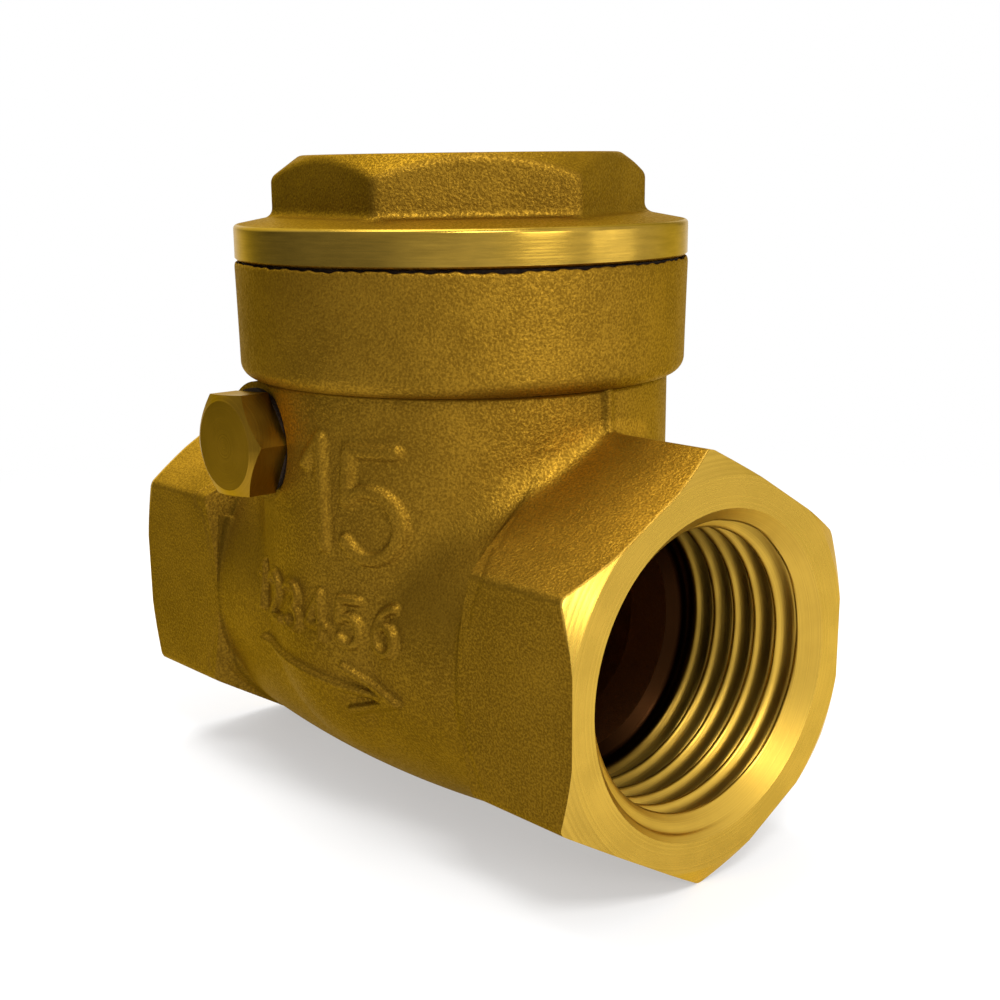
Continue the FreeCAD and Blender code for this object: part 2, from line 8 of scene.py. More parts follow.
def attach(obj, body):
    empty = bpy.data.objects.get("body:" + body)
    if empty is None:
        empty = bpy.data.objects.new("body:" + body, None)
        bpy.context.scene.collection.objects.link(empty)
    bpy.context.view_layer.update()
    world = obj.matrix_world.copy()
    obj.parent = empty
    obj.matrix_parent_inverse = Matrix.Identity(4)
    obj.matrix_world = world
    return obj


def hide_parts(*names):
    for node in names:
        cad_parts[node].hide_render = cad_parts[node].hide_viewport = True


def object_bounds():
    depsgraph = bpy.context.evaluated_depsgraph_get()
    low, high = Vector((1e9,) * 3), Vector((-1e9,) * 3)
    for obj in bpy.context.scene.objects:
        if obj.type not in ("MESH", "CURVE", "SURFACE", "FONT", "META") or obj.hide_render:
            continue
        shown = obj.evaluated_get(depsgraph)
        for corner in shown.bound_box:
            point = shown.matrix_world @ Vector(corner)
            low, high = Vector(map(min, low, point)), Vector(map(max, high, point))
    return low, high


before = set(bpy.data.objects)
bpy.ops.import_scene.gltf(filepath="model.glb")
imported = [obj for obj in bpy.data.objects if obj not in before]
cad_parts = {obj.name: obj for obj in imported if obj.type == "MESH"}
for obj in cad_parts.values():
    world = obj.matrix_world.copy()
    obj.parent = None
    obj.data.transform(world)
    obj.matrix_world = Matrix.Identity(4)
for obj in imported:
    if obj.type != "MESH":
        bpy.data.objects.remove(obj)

bl_info = {
    "name": "Brass Check Valve",
    "version": (1, 0, 0),
    "blender": (4, 5, 0),
    "location": "View3D > Sidebar > Check Valve",
    "description": "Dresses the swing check valve: forged skin, pipe threads, figures, finishes, stage",
    "category": "Object",
}

CAD_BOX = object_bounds()

# Sizes that the solids of the frame have, in metres. The bonnet axis is the upright through BONNET_X.
BONNET_X = 0.0233
INLET_FACE = -0.0016
OUTLET_FACE = 0.0478
NECK_RADIUS = 0.01465
BOWL_ROUND = 0.0125
BOWL_TURN_HEIGHT = 0.0003
BARREL_BULGE_RADIUS = 0.113
BARREL_MIDDLE_RADIUS = 0.01353
BARREL_MIDDLE_X = -0.0002
HEX_APOTHEM = 0.0127
HEX_ROOTS = {1: 0.01396, -1: 0.01436}
HEX_EDGE_ROUND = 0.0007
SHOULDER_RADIUS = 0.01245
SHOULDER_ANGLE = math.radians(33)
COLLAR_BASE = 0.0174
COLLAR_TOP = 0.025
FACE_RADIUS = 0.013
FACE_CORNER_ANGLE = math.radians(31)
MOUTH_RADIUS = 0.0109
MOUTH_DEPTH = 0.0016
MINOR_RADIUS = 0.009316
THREAD_LENGTH = 0.0096
OUTLET_BORE = (0.0085, 0.0008)
INLET_BORE = (0.0064, 0.00175)
PIVOT_X = -0.0054
PIVOT_Z = 0.0132
PIVOT = (BONNET_X + PIVOT_X, 0.0, PIVOT_Z)
PIN_AXIS = (0.0, 1.0, 0.0)
BOSS_RADIUS = 0.00415
FLANGE_FOOT = 0.02565
FLANGE_TOP = 0.02785
FLANGE_RADIUS = 0.01592
CROWN_TOP = 0.02835
BONNET_TOP = 0.03245
BONNET_APOTHEM = 0.011525
BONNET_TURN = math.radians(-4.8)
BONNET_TOP_RADIUS = 0.01115
BONNET_CORNER_SLOPE = math.tan(math.radians(35.6))
SEAT = (0.016, 0.0, 0.0)
DISC_AXIS = (0.992546, 0.0, 0.121869)

# Roughness of the forging in its dimples and on their rims, and the depth of its grain
FORGED_ROUGHNESS = (0.62, 0.46)
FORGED_DEPTH = 0.00006

# Distance within which a point counts as lying on a surface
TOUCHING = 0.00001

# Height above which the forging's skin is left out, inside the collar
SKIN_TOP = 0.0178

# Centre lines of plain figures in a box 0.62 wide and 1 high: straight runs, and arcs as
# (middle, radii, start angle, end angle) in degrees
FIGURES = {
    "1": [[(0.12, 0.76), (0.36, 1.0), (0.36, 0.0)]],
    "2": [((0.31, 0.7), (0.3, 0.3), 165, -35), [(0.56, 0.53), (0.02, 0.0), (0.62, 0.0)]],
    "3": [((0.3, 0.76), (0.27, 0.24), 150, -90), ((0.3, 0.26), (0.31, 0.26), 90, -150)],
    "4": [[(0.46, 0.0), (0.46, 1.0), (0.0, 0.3), (0.62, 0.3)]],
    "5": [[(0.56, 1.0), (0.1, 1.0), (0.06, 0.54)], ((0.3, 0.32), (0.3, 0.32), 135, -150)],
    "6": [((0.31, 0.3), (0.3, 0.3), 0, 360), ((0.62, 0.36), (0.61, 0.64), 180, 100)],
}

# Scale of a figure's box and width of its strokes, for the large figures and for the row
LARGE_FIGURE, LARGE_STROKE = (0.0066, 0.0072), 0.00088
SMALL_FIGURE, SMALL_STROKE = (0.0029, 0.0032), 0.0006


def length(name, description, default, least=0.0001):
    """Length in metres for the panel."""
    return bpy.props.FloatProperty(
        name=name, description=description, default=default, min=least, unit="LENGTH", precision=6)


def tint(name, description, default):
    """Colour for the panel."""
    return bpy.props.FloatVectorProperty(
        name=name, description=description, default=default, size=3, min=0, max=1, subtype="COLOR")


class ValveSizes(bpy.types.PropertyGroup):
    """Sizes of the details that are added to the solids."""

    thread_pitch: length(
        "Thread pitch", "Distance along the bore from one turn of the pipe thread to the next", 0.001814)
    thread_root: length(
        "Thread root radius", "Radius that the bottom of the pipe thread's groove reaches",
        0.010478, MINOR_RADIUS)
    barrel_fillet: length("Barrel fillet", "Radius of the hollow round between neck and barrel", 0.003)
    hexagon_fillet: length("Hexagon fillet", "Radius of the hollow round between neck and hexagons", 0.0009)
    shoulder_fillet: length(
        "Shoulder fillet", "Radius of the hollow round between barrel and the hexagons' shoulders", 0.0005)
    bonnet_round: length(
        "Bonnet round", "Radius of the bonnet's worn edges and of the hollow round at its foot", 0.0008)
    lip_height: length("Lip height", "Sets how high the burr on the collar's upper edge stands", 0.00042)
    figure_height: length(
        "Figure height", "How far the raised figures and the arrow stand out of the forging", 0.00044, 0.0)
    figure_slope: length("Figure slope", "Width of the sloping sides of figures and arrow", 0.0003)
    flash_height: length(
        "Flash height", "How far the trimmed parting line stands out of the neck", 0.00038, 0.0)
    flash_width: length("Flash width", "Width of the trimmed parting line", 0.0009)
    grain: length("Blast grain", "Size of one dimple of the blasted surface", 0.00028, 0.00005)


class ValveColours(bpy.types.PropertyGroup):
    """Colours of the finishes."""

    # The body's upper flats are painted up to 2.1 times this colour, as painted light
    forged: tint("Forged brass", "Blasted brass of body and bonnet", (0.295, 0.162, 0.0140))
    # Half of this colour is also the body's painted shade in its creases and towards the bottom
    forged_deep: tint("Forged brass, dull", "Duller patches of the blasted brass", (0.170, 0.089, 0.0072))
    # This colour also paints a highlight line along the upper edges of the body's machined ends
    machined: tint("Machined brass", "Turned and milled brass faces", (0.555, 0.345, 0.050))
    # Brown of tarnished brass that is also painted shade: the body's chamber and passages take it, and the
    # bores go towards 0.12 of it, nearly black, in their grooves and further in
    tarnish_and_shade: tint("Tarnish", "Brown tint in the bores and hollows", (0.17, 0.062, 0.018))
    steel: tint("Stainless steel", "Ground hinge pin", (0.62, 0.61, 0.58))
    rubber: tint("Seal rubber", "Soft ring of the disc", (0.022, 0.022, 0.024))
    fibre: tint("Gasket fibre", "Pressed fibre of gasket and plug washer", (0.022, 0.014, 0.010))
    floor: tint("Floor", "Pale floor under the valve", (0.86, 0.86, 0.86))


# Node trees

class Nodes:
    """Adds nodes to a tree, linking sockets and setting plain values in one call."""

    def __init__(self, tree):
        self.tree = tree

    def put(self, node, key, value):
        """Link or set one input."""
        if isinstance(value, bpy.types.NodeSocket):
            self.tree.links.new(value, node.inputs[key])
        else:
            node.inputs[key].default_value = value

    def add(self, kind, inputs=None, **settings):
        node = self.tree.nodes.new(kind)
        for name, value in settings.items():
            setattr(node, name, value)
        for key, value in (inputs or {}).items():
            self.put(node, key, value)
        return node

    def math(self, operation, *terms):
        return self.add("ShaderNodeMath", dict(enumerate(terms)), operation=operation).outputs[0]

    def product(self, *factors):
        """Product of two or more numbers."""
        result = factors[0]
        for factor in factors[1:]:
            result = self.math("MULTIPLY", result, factor)
        return result

    def gap(self, a, b):
        """How far apart two numbers are."""
        return self.math("ABSOLUTE", self.math("SUBTRACT", a, b))

    def hypot(self, a, b):
        return self.math("SQRT", self.math("ADD", self.product(a, a), self.product(b, b)))

    def vector(self, operation, *terms):
        """Vector maths: a number for a dot product or a length, otherwise a vector."""
        outputs = self.add("ShaderNodeVectorMath", dict(enumerate(terms)), operation=operation).outputs
        return outputs["Value" if operation in ("DOT_PRODUCT", "LENGTH") else "Vector"]

    def coordinates(self, place):
        return self.add("ShaderNodeSeparateXYZ", {0: place}).outputs

    def mix(self, share, a, b):
        """Colour a at share 0 and colour b at share 1."""
        return self.add("ShaderNodeMix", {0: share, 6: a, 7: b}, data_type="RGBA").outputs[2]

    def blend(self, share, a, b):
        """Number a at share 0 and number b at share 1."""
        return self.add("ShaderNodeMix", {0: share, 2: a, 3: b}).outputs[0]

    def spread(self, value, low, high, start=0.0, end=1.0):
        """Value between low and high carried smoothly to start and end."""
        inputs = {0: value, 1: low, 2: high, 3: start, 4: end}
        return self.add("ShaderNodeMapRange", inputs, interpolation_type="SMOOTHSTEP").outputs[0]

    def below(self, value, full, none):
        """1 where the value is at most full, falling smoothly to 0 at none."""
        return self.spread(value, full, none, 1.0, 0.0)

    def noise(self, place, scale, detail=2.0, roughness=0.5):
        inputs = {"Vector": place, "Scale": scale, "Detail": detail, "Roughness": roughness}
        return self.add("ShaderNodeTexNoise", inputs).outputs[0]


def colour(values, share=1.0):
    """Four channels for a socket from a colour property, times a share."""
    return (*(min(value * share, 1.0) for value in values), 1.0)


def new_group(name, inputs, outputs):
    """Empty node group with the named sockets, and its Nodes, input and output nodes."""
    tree = bpy.data.node_groups.new(name, "ShaderNodeTree")
    for label, kind in inputs:
        tree.interface.new_socket(label, in_out="INPUT", socket_type=kind)
    for label, kind in outputs:
        tree.interface.new_socket(label, in_out="OUTPUT", socket_type=kind)
    nodes = Nodes(tree)
    return tree, nodes, nodes.add("NodeGroupInput"), nodes.add("NodeGroupOutput")


def blasted_group(name):
    """Group that gives height, tone and gloss of a surface blasted with fine shot.

    Height is noise at the grain's size, finer noise on it and a slow swell. Tone is higher on the
    fine noise's tops, where the skin is rubbed bright, and varies in slow patches.
    """
    tree, nodes, start, end = new_group(
        name,
        [("Place", "NodeSocketVector"), ("Grain", "NodeSocketFloat")],
        [("Height", "NodeSocketFloat"), ("Tone", "NodeSocketFloat"), ("Gloss", "NodeSocketFloat")],
    )
    place = start.outputs["Place"]
    scale = nodes.math("DIVIDE", 1.0, start.outputs["Grain"])
    coarse = nodes.noise(place, nodes.product(scale, 0.7), 1.0)
    fine = nodes.noise(place, nodes.product(scale, 1.7), 1.0, 0.6)
    swell = nodes.noise(place, nodes.product(scale, 0.16), 1.0)
    patches = nodes.noise(place, nodes.product(scale, 0.05), 2.0)
    height = nodes.math("MULTIPLY_ADD", fine, 0.75, nodes.product(coarse, 0.5))
    nodes.put(end, "Height", nodes.math("MULTIPLY_ADD", swell, 0.9, height))
    tone = nodes.math("MULTIPLY_ADD", patches, 0.35, nodes.product(fine, 0.65))
    nodes.put(end, "Tone", nodes.spread(tone, 0.34, 0.68))
    nodes.put(end, "Gloss", nodes.spread(fine, 0.35, 0.7))
    return tree


def turning_group(name):
    """Group that gives height and tone of turning marks, rings round an axis through the origin.

    The distance from the axis drives one-dimensional noise; a slow noise breaks up its evenness.
    """
    tree, nodes, start, end = new_group(
        name,
        [("Place", "NodeSocketVector"), ("Axis", "NodeSocketVector"), ("Pitch", "NodeSocketFloat")],
        [("Height", "NodeSocketFloat"), ("Tone", "NodeSocketFloat")],
    )
    place = start.outputs["Place"]
    along, far = nodes.vector("DOT_PRODUCT", place, start.outputs["Axis"]), nodes.vector("LENGTH", place)
    squares = nodes.product(far, far), nodes.product(along, along)
    out = nodes.math("SQRT", nodes.math("SUBTRACT", *squares))
    turns = nodes.math("DIVIDE", nodes.math("ADD", out, nodes.product(along, 0.83)), start.outputs["Pitch"])
    rings = nodes.add(
        "ShaderNodeTexNoise", {"W": turns, "Scale": 1.0, "Detail": 2.0}, noise_dimensions="1D"
    ).outputs[0]
    nodes.put(end, "Height", rings)
    tone = nodes.math("MULTIPLY_ADD", rings, 0.5, nodes.product(nodes.noise(place, 350.0, 2.0), 0.5))
    nodes.put(end, "Tone", nodes.spread(tone, 0.35, 0.65))
    return tree


def use_group(nodes, name, make_tree, **inputs):
    """Outputs of a group that is made once, with its inputs linked or set."""
    tree = bpy.data.node_groups.get(name) or make_tree(name)
    node = nodes.add("ShaderNodeGroup", node_tree=tree)
    for key, value in inputs.items():
        nodes.put(node, key, value)
    return node.outputs


def empty_material(name):
    """Material with only an output, its Nodes and the place read from Object coordinates."""
    material = bpy.data.materials.new(name)
    material.use_nodes = True
    material.node_tree.nodes.clear()
    nodes = Nodes(material.node_tree)
    place = nodes.add("ShaderNodeTexCoord").outputs["Object"]
    return material, nodes, place


def finish(nodes, base, roughness, height, depth, metallic=1.0, edge=(1.0, 0.80, 0.42)):
    """Principled surface from base colour, roughness and a height in a bump of this depth.

    The edge colour is what a metal turns to where it is seen at a low angle.
    """
    bump = nodes.add("ShaderNodeBump", {"Strength": 1.0, "Distance": depth, "Height": height})
    shader = nodes.add("ShaderNodeBsdfPrincipled", {
        "Base Color": base, "Roughness": roughness, "Normal": bump.outputs[0], "Metallic": metallic,
        "Specular Tint": colour(edge)})
    nodes.add("ShaderNodeOutputMaterial", {"Surface": shader.outputs[0]})


def blasted_skin(nodes, place, grain, deep, light):
    """Colour, tone, gloss and height of blasted metal between a deep and a light colour."""
    blasted = use_group(nodes, "Blasted surface", blasted_group, Place=place, Grain=grain)
    base = nodes.mix(blasted["Tone"], deep, light)
    return base, blasted["Tone"], blasted["Gloss"], blasted["Height"]


def turned_skin(nodes, place, axis, pitch):
    """Height and tone of turning marks round an axis through the origin of place."""
    turning = use_group(nodes, "Turning marks", turning_group, Place=place, Axis=axis, Pitch=pitch)
    return turning["Height"], turning["Tone"]


def finish_forging(nodes, machined, forged, turned):
    """Surface of blasted forging, and of turned metal where machined is 1.

    The forging comes as colour, gloss and height, the turned metal as colour, roughness and height.
    """
    base = nodes.mix(machined, forged[0], turned[0])
    roughness = nodes.blend(machined, nodes.spread(forged[1], 0.0, 1.0, *FORGED_ROUGHNESS), turned[1])
    finish(nodes, base, roughness, nodes.blend(machined, forged[2], turned[2]), FORGED_DEPTH)


def end_machining(nodes, place):
    """Shares of the machined ends and of a painted highlight, a thin bright line along their upper edges.

    A point is machined where it lies at or beyond the cone of the turned corners. The distance
    from the flow line and the separate coordinates are returned as well.
    """
    x, y, z = nodes.coordinates(place)
    out = nodes.hypot(y, z)
    reach = nodes.product(nodes.math("SUBTRACT", out, FACE_RADIUS), math.tan(FACE_CORNER_ANGLE))
    reach = nodes.math("MAXIMUM", reach, 0.0)
    left = nodes.math("SUBTRACT", nodes.math("SUBTRACT", OUTLET_FACE, x), reach)
    other = nodes.math("SUBTRACT", nodes.math("SUBTRACT", x, INLET_FACE), reach)
    nearest = nodes.math("MINIMUM", left, other)
    # Painted highlight: a thin band 0.12 to 0.26 mm from the machined ends, only above 4 to 7 mm height
    painted_edge_glint = nodes.product(nodes.below(nearest, 0.00012, 0.00026), nodes.spread(z, 0.004, 0.007))
    return nodes.below(nearest, 0.00003, 0.00006), painted_edge_glint, out, (x, y, z)


def body_material(sizes, colours):
    """Forged brass with machined ends; painted shade in its creases and towards the bottom, painted light on
    its upper flats, a painted highlight along the ends' upper edges, and chamber and passages in tarnished
    brown that is also painted shade.
    """
    material, nodes, place = empty_material("Forged brass body")
    ends, painted_edge_glint, out, (x, y, z) = end_machining(nodes, place)
    along = nodes.math("SUBTRACT", x, BONNET_X)
    to_end = nodes.math("ABSOLUTE", along)
    from_axis = nodes.hypot(along, y)
    collar_face = nodes.product(
        nodes.spread(z, COLLAR_TOP - 0.00006, COLLAR_TOP - 0.00003), nodes.below(from_axis, 0.01545, 0.0155))
    machined = nodes.math("MAXIMUM", ends, collar_face)
    # The chamber and the passages take the brown of tarnished brass, which also serves as painted shade
    # inside them
    chamber = nodes.product(nodes.below(from_axis, 0.0136, 0.0140), nodes.spread(z, 0.003, 0.004))
    hollow = nodes.math("MAXIMUM", chamber, nodes.below(out, 0.0112, 0.0118))

    # Painted shade in the creases, at the hexagons' roots and below the collar, and a painted shade strip on
    # the flash's front side beside the parting line
    to_root = nodes.math("MINIMUM", nodes.gap(along, HEX_ROOTS[1]), nodes.gap(along, -HEX_ROOTS[-1]))
    root = nodes.product(nodes.below(to_root, 0.00006, 0.00034), nodes.below(out, 0.0132, 0.0137))
    painted_shade_below_collar = nodes.product(
        nodes.below(nodes.gap(z, COLLAR_BASE), 0.00004, 0.0004), nodes.below(from_axis, 0.0148, 0.0152))
    painted_flash_shade = nodes.product(
        nodes.below(nodes.gap(y, -0.00042), 0.00012, 0.00034), nodes.spread(z, 0.0115, 0.0128),
        nodes.spread(to_end, 0.0128, 0.0134), nodes.below(from_axis, 0.0150, 0.0154))
    crease = nodes.math("MAXIMUM", nodes.math("MAXIMUM", root, painted_shade_below_collar), painted_flash_shade)
    # Painted shade towards the bottom: a share of 0.34 from 4 mm below the flow line, none from 14 mm above
    # it
    low = nodes.spread(z, -0.004, 0.014, 0.34, 0.0)
    painted_shade = nodes.math("MAXIMUM", nodes.product(crease, 0.65), low)

    # Painted light: flats that face up are made brighter, towards 2.1 times the forged colour
    painted_light_on_upper_flats = nodes.product(
        nodes.spread(to_end, 0.0137, 0.0142), nodes.spread(z, 0.006, 0.010),
        nodes.spread(out, 0.0150, 0.0156, 0.36, 0.0))
    forged, machined_brass = colour(colours.forged), colour(colours.machined)
    skin, tone, gloss, height = blasted_skin(nodes, place, sizes.grain, colour(colours.forged_deep), forged)
    # Painted shade: creases and underside go towards the dull colour at half its brightness
    skin = nodes.mix(painted_shade, skin, colour(colours.forged_deep, 0.5))
    # Painted light on the flats that face up
    skin = nodes.mix(painted_light_on_upper_flats, skin, nodes.mix(tone, forged, colour(colours.forged, 2.1)))
    # Chamber and passages: tarnished brown that is also painted shade
    skin = nodes.mix(hollow, skin, colour(colours.tarnish_and_shade))
    # Painted highlight: the machined colour in a thin line along the ends' upper edges
    skin = nodes.mix(painted_edge_glint, skin, machined_brass)
    rings, ring_tone = turned_skin(nodes, place, (1.0, 0.0, 0.0), 0.00012)
    turned = nodes.mix(ring_tone, colour(colours.machined, 0.82), machined_brass)
    roughness = nodes.spread(ring_tone, 0.0, 1.0, 0.30, 0.20)
    finish_forging(nodes, machined, (skin, gloss, height), (turned, roughness, nodes.product(rings, 0.10)))
    return material


def bonnet_material(sizes, colours):
    """Forged brass with a turned flange: rings and fine upright streaks below the hexagon."""
    material, nodes, place = empty_material("Forged brass bonnet")
    machined = nodes.below(nodes.coordinates(place)["Z"], FLANGE_TOP + 0.00002, FLANGE_TOP + 0.00008)
    skin, _, gloss, height = blasted_skin(
        nodes, place, sizes.grain, colour(colours.forged_deep, 0.87), colour(colours.forged, 0.87))
    centred = nodes.vector("SUBTRACT", place, (BONNET_X, 0.0, 0.0))
    rings, _ = turned_skin(nodes, centred, (0.0, 0.0, 1.0), 0.00010)
    streaks = nodes.noise(nodes.vector("MULTIPLY", centred, (0.12, 0.12, 1.0)), 3200.0, 3.0, 0.6)
    blotches = nodes.noise(centred, 240.0, 3.0, 0.55)
    wear = nodes.math("MULTIPLY_ADD", streaks, 0.5, nodes.product(blotches, 0.5))
    turned = nodes.mix(
        nodes.spread(wear, 0.34, 0.66), colour(colours.machined, 0.52), colour(colours.machined, 0.70))
    roughness = nodes.spread(blotches, 0.3, 0.7, 0.25, 0.20)
    turned_height = nodes.math("MULTIPLY_ADD", streaks, 0.04, nodes.product(rings, 0.05))
    finish_forging(nodes, machined, (skin, gloss, height), (turned, roughness, turned_height))
    return material


def bore_material(colours):
    """Cut brass of mouths and threads, with painted shade, a nearly black tarnished brown, in the grooves
    and further in.
    """
    material, nodes, place = empty_material("Cut brass bore")
    x, y, z = nodes.coordinates(place)
    from_middle = nodes.gap(x, BONNET_X)
    # Painted shade: the bore grows darker further in, and wholly from about 1.5 mm before the threads' inner
    # end
    painted_depth_shade = nodes.spread(from_middle, 0.0135, 0.0225, 0.45, 0.0)
    depth = nodes.math("MAXIMUM", painted_depth_shade, nodes.below(from_middle, 0.0140, 0.0156))
    # Painted shade in the thread grooves, a share of up to half
    groove = nodes.spread(nodes.hypot(y, z), MINOR_RADIUS + 0.00015, MINOR_RADIUS + 0.0008, 0.0, 0.5)
    groove = nodes.product(groove, nodes.below(from_middle, 0.0222, 0.0232))
    rings, tone = turned_skin(nodes, place, (1.0, 0.0, 0.0), 0.00009)
    bright = nodes.mix(tone, colour(colours.machined, 0.85), colour(colours.machined))
    # The painted shade goes towards 0.12 of the tarnished brown, nearly black
    base = nodes.mix(nodes.math("MAXIMUM", depth, groove), bright, colour(colours.tarnish_and_shade, 0.12))
    finish(nodes, base, nodes.spread(tone, 0.0, 1.0, 0.42, 0.32), rings, 0.000006)
    return material


def turned_material(name, metal, axis, centre, dull_share, roughness, pitch=0.00012):
    """Metal turned round an axis, with rings and a little dullness in patches."""
    material, nodes, place = empty_material(name)
    rings, tone = turned_skin(nodes, nodes.vector("SUBTRACT", place, centre), axis, pitch)
    cloud = nodes.noise(place, 260.0, 3.0)
    share = nodes.product(nodes.math("ADD", tone, cloud), 0.5)
    base = nodes.mix(share, colour(metal, dull_share), colour(metal))
    gloss = nodes.spread(cloud, 0.3, 0.7, roughness * 1.25, roughness * 0.8)
    finish(nodes, base, gloss, rings, 0.00001)
    return material


def cast_material(name, deep, light, grain):
    """As-cast metal: blasted dimples on a duller base."""
    material, nodes, place = empty_material(name)
    base, _, gloss, height = blasted_skin(nodes, place, grain, colour(deep), colour(light))
    finish(nodes, base, nodes.spread(gloss, 0.0, 1.0, 0.55, 0.40), height, 0.00004)
    return material


def soft_material(name, base_colour, roughness, speck_scale, depth):
    """Rubber or pressed fibre: specks of two tones and a fine uneven surface."""
    material, nodes, place = empty_material(name)
    speck = nodes.noise(place, speck_scale, 4.0, 0.65)
    base = nodes.mix(nodes.spread(speck, 0.35, 0.65), colour(base_colour, 0.6), colour(base_colour, 1.5))
    gloss = nodes.spread(speck, 0.3, 0.7, roughness * 0.85, min(roughness * 1.15, 1.0))
    finish(nodes, base, gloss, speck, depth, 0.0, (0.12, 0.12, 0.12))
    return material


# Shapes

def grid_faces(rows, columns, closed):
    """Quads of a grid numbered row by row; a closed grid joins its last column to its first."""
    row = np.arange(rows - 1)[:, None]
    column = np.arange(columns if closed else columns - 1)[None, :]
    after = (column + 1) % columns
    corners = (row * columns + column, row * columns + after)
    corners += ((row + 1) * columns + after, (row + 1) * columns + column)
    return np.stack(np.broadcast_arrays(*corners), -1).reshape(-1, 4)


def make_mesh(name, points, faces):
    """Smooth mesh from arrays of points and of faces with equal numbers of corners."""
    used, numbers = np.unique(faces, return_inverse=True)
    points, faces = points[used], numbers.reshape(faces.shape)
    mesh = bpy.data.meshes.new(name)
    mesh.vertices.add(len(points))
    mesh.vertices.foreach_set("co", points.astype(np.float32).ravel())
    sides = faces.shape[1]
    mesh.loops.add(faces.size)
    mesh.loops.foreach_set("vertex_index", faces.astype(np.int32).ravel())
    mesh.polygons.add(len(faces))
    mesh.polygons.foreach_set("loop_start", np.arange(0, faces.size, sides, dtype=np.int32))
    mesh.polygons.foreach_set("use_smooth", np.ones(len(faces), bool))
    mesh.update(calc_edges=True)
    if mesh.validate():
        raise RuntimeError("%s has faulty faces" % name)
    return mesh


def read_all(items, name, width, kind=float):
    """One property of all a mesh's items as an array with this many columns."""
    values = np.empty(len(items) * width, kind)
    items.foreach_get(name, values)
    return values.reshape(-1, width)


def new_piece(name, mesh, body, slot, material, *nodes):
    """Object for a mesh that rides on a body, wears the material and replaces CAD nodes. The slot is not
    used.
    """
    piece = bpy.data.objects.new(name, mesh)
    bpy.context.scene.collection.objects.link(piece)
    mesh.materials.append(material)
    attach(piece, body)
    if nodes:
        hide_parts(*nodes)


def dress(node, material):
    """Give a CAD node its finish."""
    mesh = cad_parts[node].data
    if not mesh.materials:
        mesh.materials.append(material)
    for index in range(len(mesh.materials)):
        mesh.materials[index] = material


def smooth_least(a, b, width):
    """Lesser of two distances, rounded off where they differ by less than width."""
    share = np.maximum(width - np.abs(a - b), 0.0) / width
    return np.minimum(a, b) - share * share * width * 0.25


def hexagon_distance(across, up, apothem, edge_round):
    """Distance from a hexagon with corners up and down and rounded edges.

    The point is folded into one sixth, then measured from that side of a smaller hexagon.
    """
    flat = apothem - edge_round
    first, second = np.abs(up), np.abs(across)
    over = np.minimum(second * 0.5 - first * math.sqrt(0.75), 0.0) * 2.0
    first, second = first + over * math.sqrt(0.75), second - over * 0.5
    half_side = flat / math.sqrt(3)
    first = first - np.clip(first, -half_side, half_side)
    second = second - flat
    return np.hypot(first, second) * np.sign(second) - edge_round


def forging_distances(place):
    """Distances from the outsides of neck with bowl, of barrel, and of the two hexagonal ends.

    Neck and bowl are turned about the upright and the barrel about the flow line. Each end is a
    rounded hexagon cut by its shoulder's cone.
    """
    x, y, z = place
    out = np.hypot(x, y)
    drop = np.minimum(z - BOWL_TURN_HEIGHT, 0.0)
    neck = np.hypot(np.maximum(out - (NECK_RADIUS - BOWL_ROUND), 0.0), drop) - BOWL_ROUND
    about = np.hypot(y, z)
    arc = np.sqrt(BARREL_BULGE_RADIUS**2 - (x - BARREL_MIDDLE_X) ** 2)
    barrel = about - (arc - BARREL_BULGE_RADIUS + BARREL_MIDDLE_RADIUS)
    flats = hexagon_distance(y, z, HEX_APOTHEM, HEX_EDGE_ROUND)
    ends = []
    for end, root in HEX_ROOTS.items():
        shoulder = root + (about - SHOULDER_RADIUS) * math.tan(SHOULDER_ANGLE) - end * x
        ends.append(np.maximum(flats, shoulder * math.cos(SHOULDER_ANGLE)))
    return np.stack([neck, barrel, np.minimum(*ends)])


def fillet_width(radius, cosine):
    """Width for smooth_least that fills a crease as a ball of this radius would.

    For two faces whose outward directions are at angle a, with this cosine, it is
    4 r (1 - cos(a / 2)), which vanishes where they are level with each other.
    """
    return 4.0 * radius * (1.0 - np.sqrt(0.5 + 0.5 * cosine)) + 1e-7


def neck_and_barrel_cosine(place):
    """Cosine of the angle between the outward directions of neck and barrel."""
    step = 0.00004
    slopes = []
    for shift in np.eye(3)[:, :, None] * step:
        slopes.append(forging_distances(place + shift) - forging_distances(place - shift))
    slopes = np.stack(slopes)[:, :2]
    slopes /= np.maximum(np.linalg.norm(slopes, axis=0), 1e-9)
    return (slopes[:, 0] * slopes[:, 1]).sum(0)


def blended_distance(place, beside_barrel, sizes):
    """Distance from the whole forging, its creases rounded.

    The neck's round is as wide as beside_barrel along the barrel, and goes over smoothly to the
    hexagon fillet's width where the hexagons come nearer than the barrel.
    """
    transition, shoulder_cosine = 0.0024, 0.4
    neck, barrel, ends = forging_distances(place)
    body = smooth_least(barrel, ends, fillet_width(sizes.shoulder_fillet, shoulder_cosine))
    share = np.clip((barrel - ends) / transition + 0.5, 0.0, 1.0)
    beside_ends = fillet_width(sizes.hexagon_fillet, 0.0)
    width = beside_barrel + (beside_ends - beside_barrel) * share * share * (3.0 - 2.0 * share)
    return smooth_least(neck, body, width)


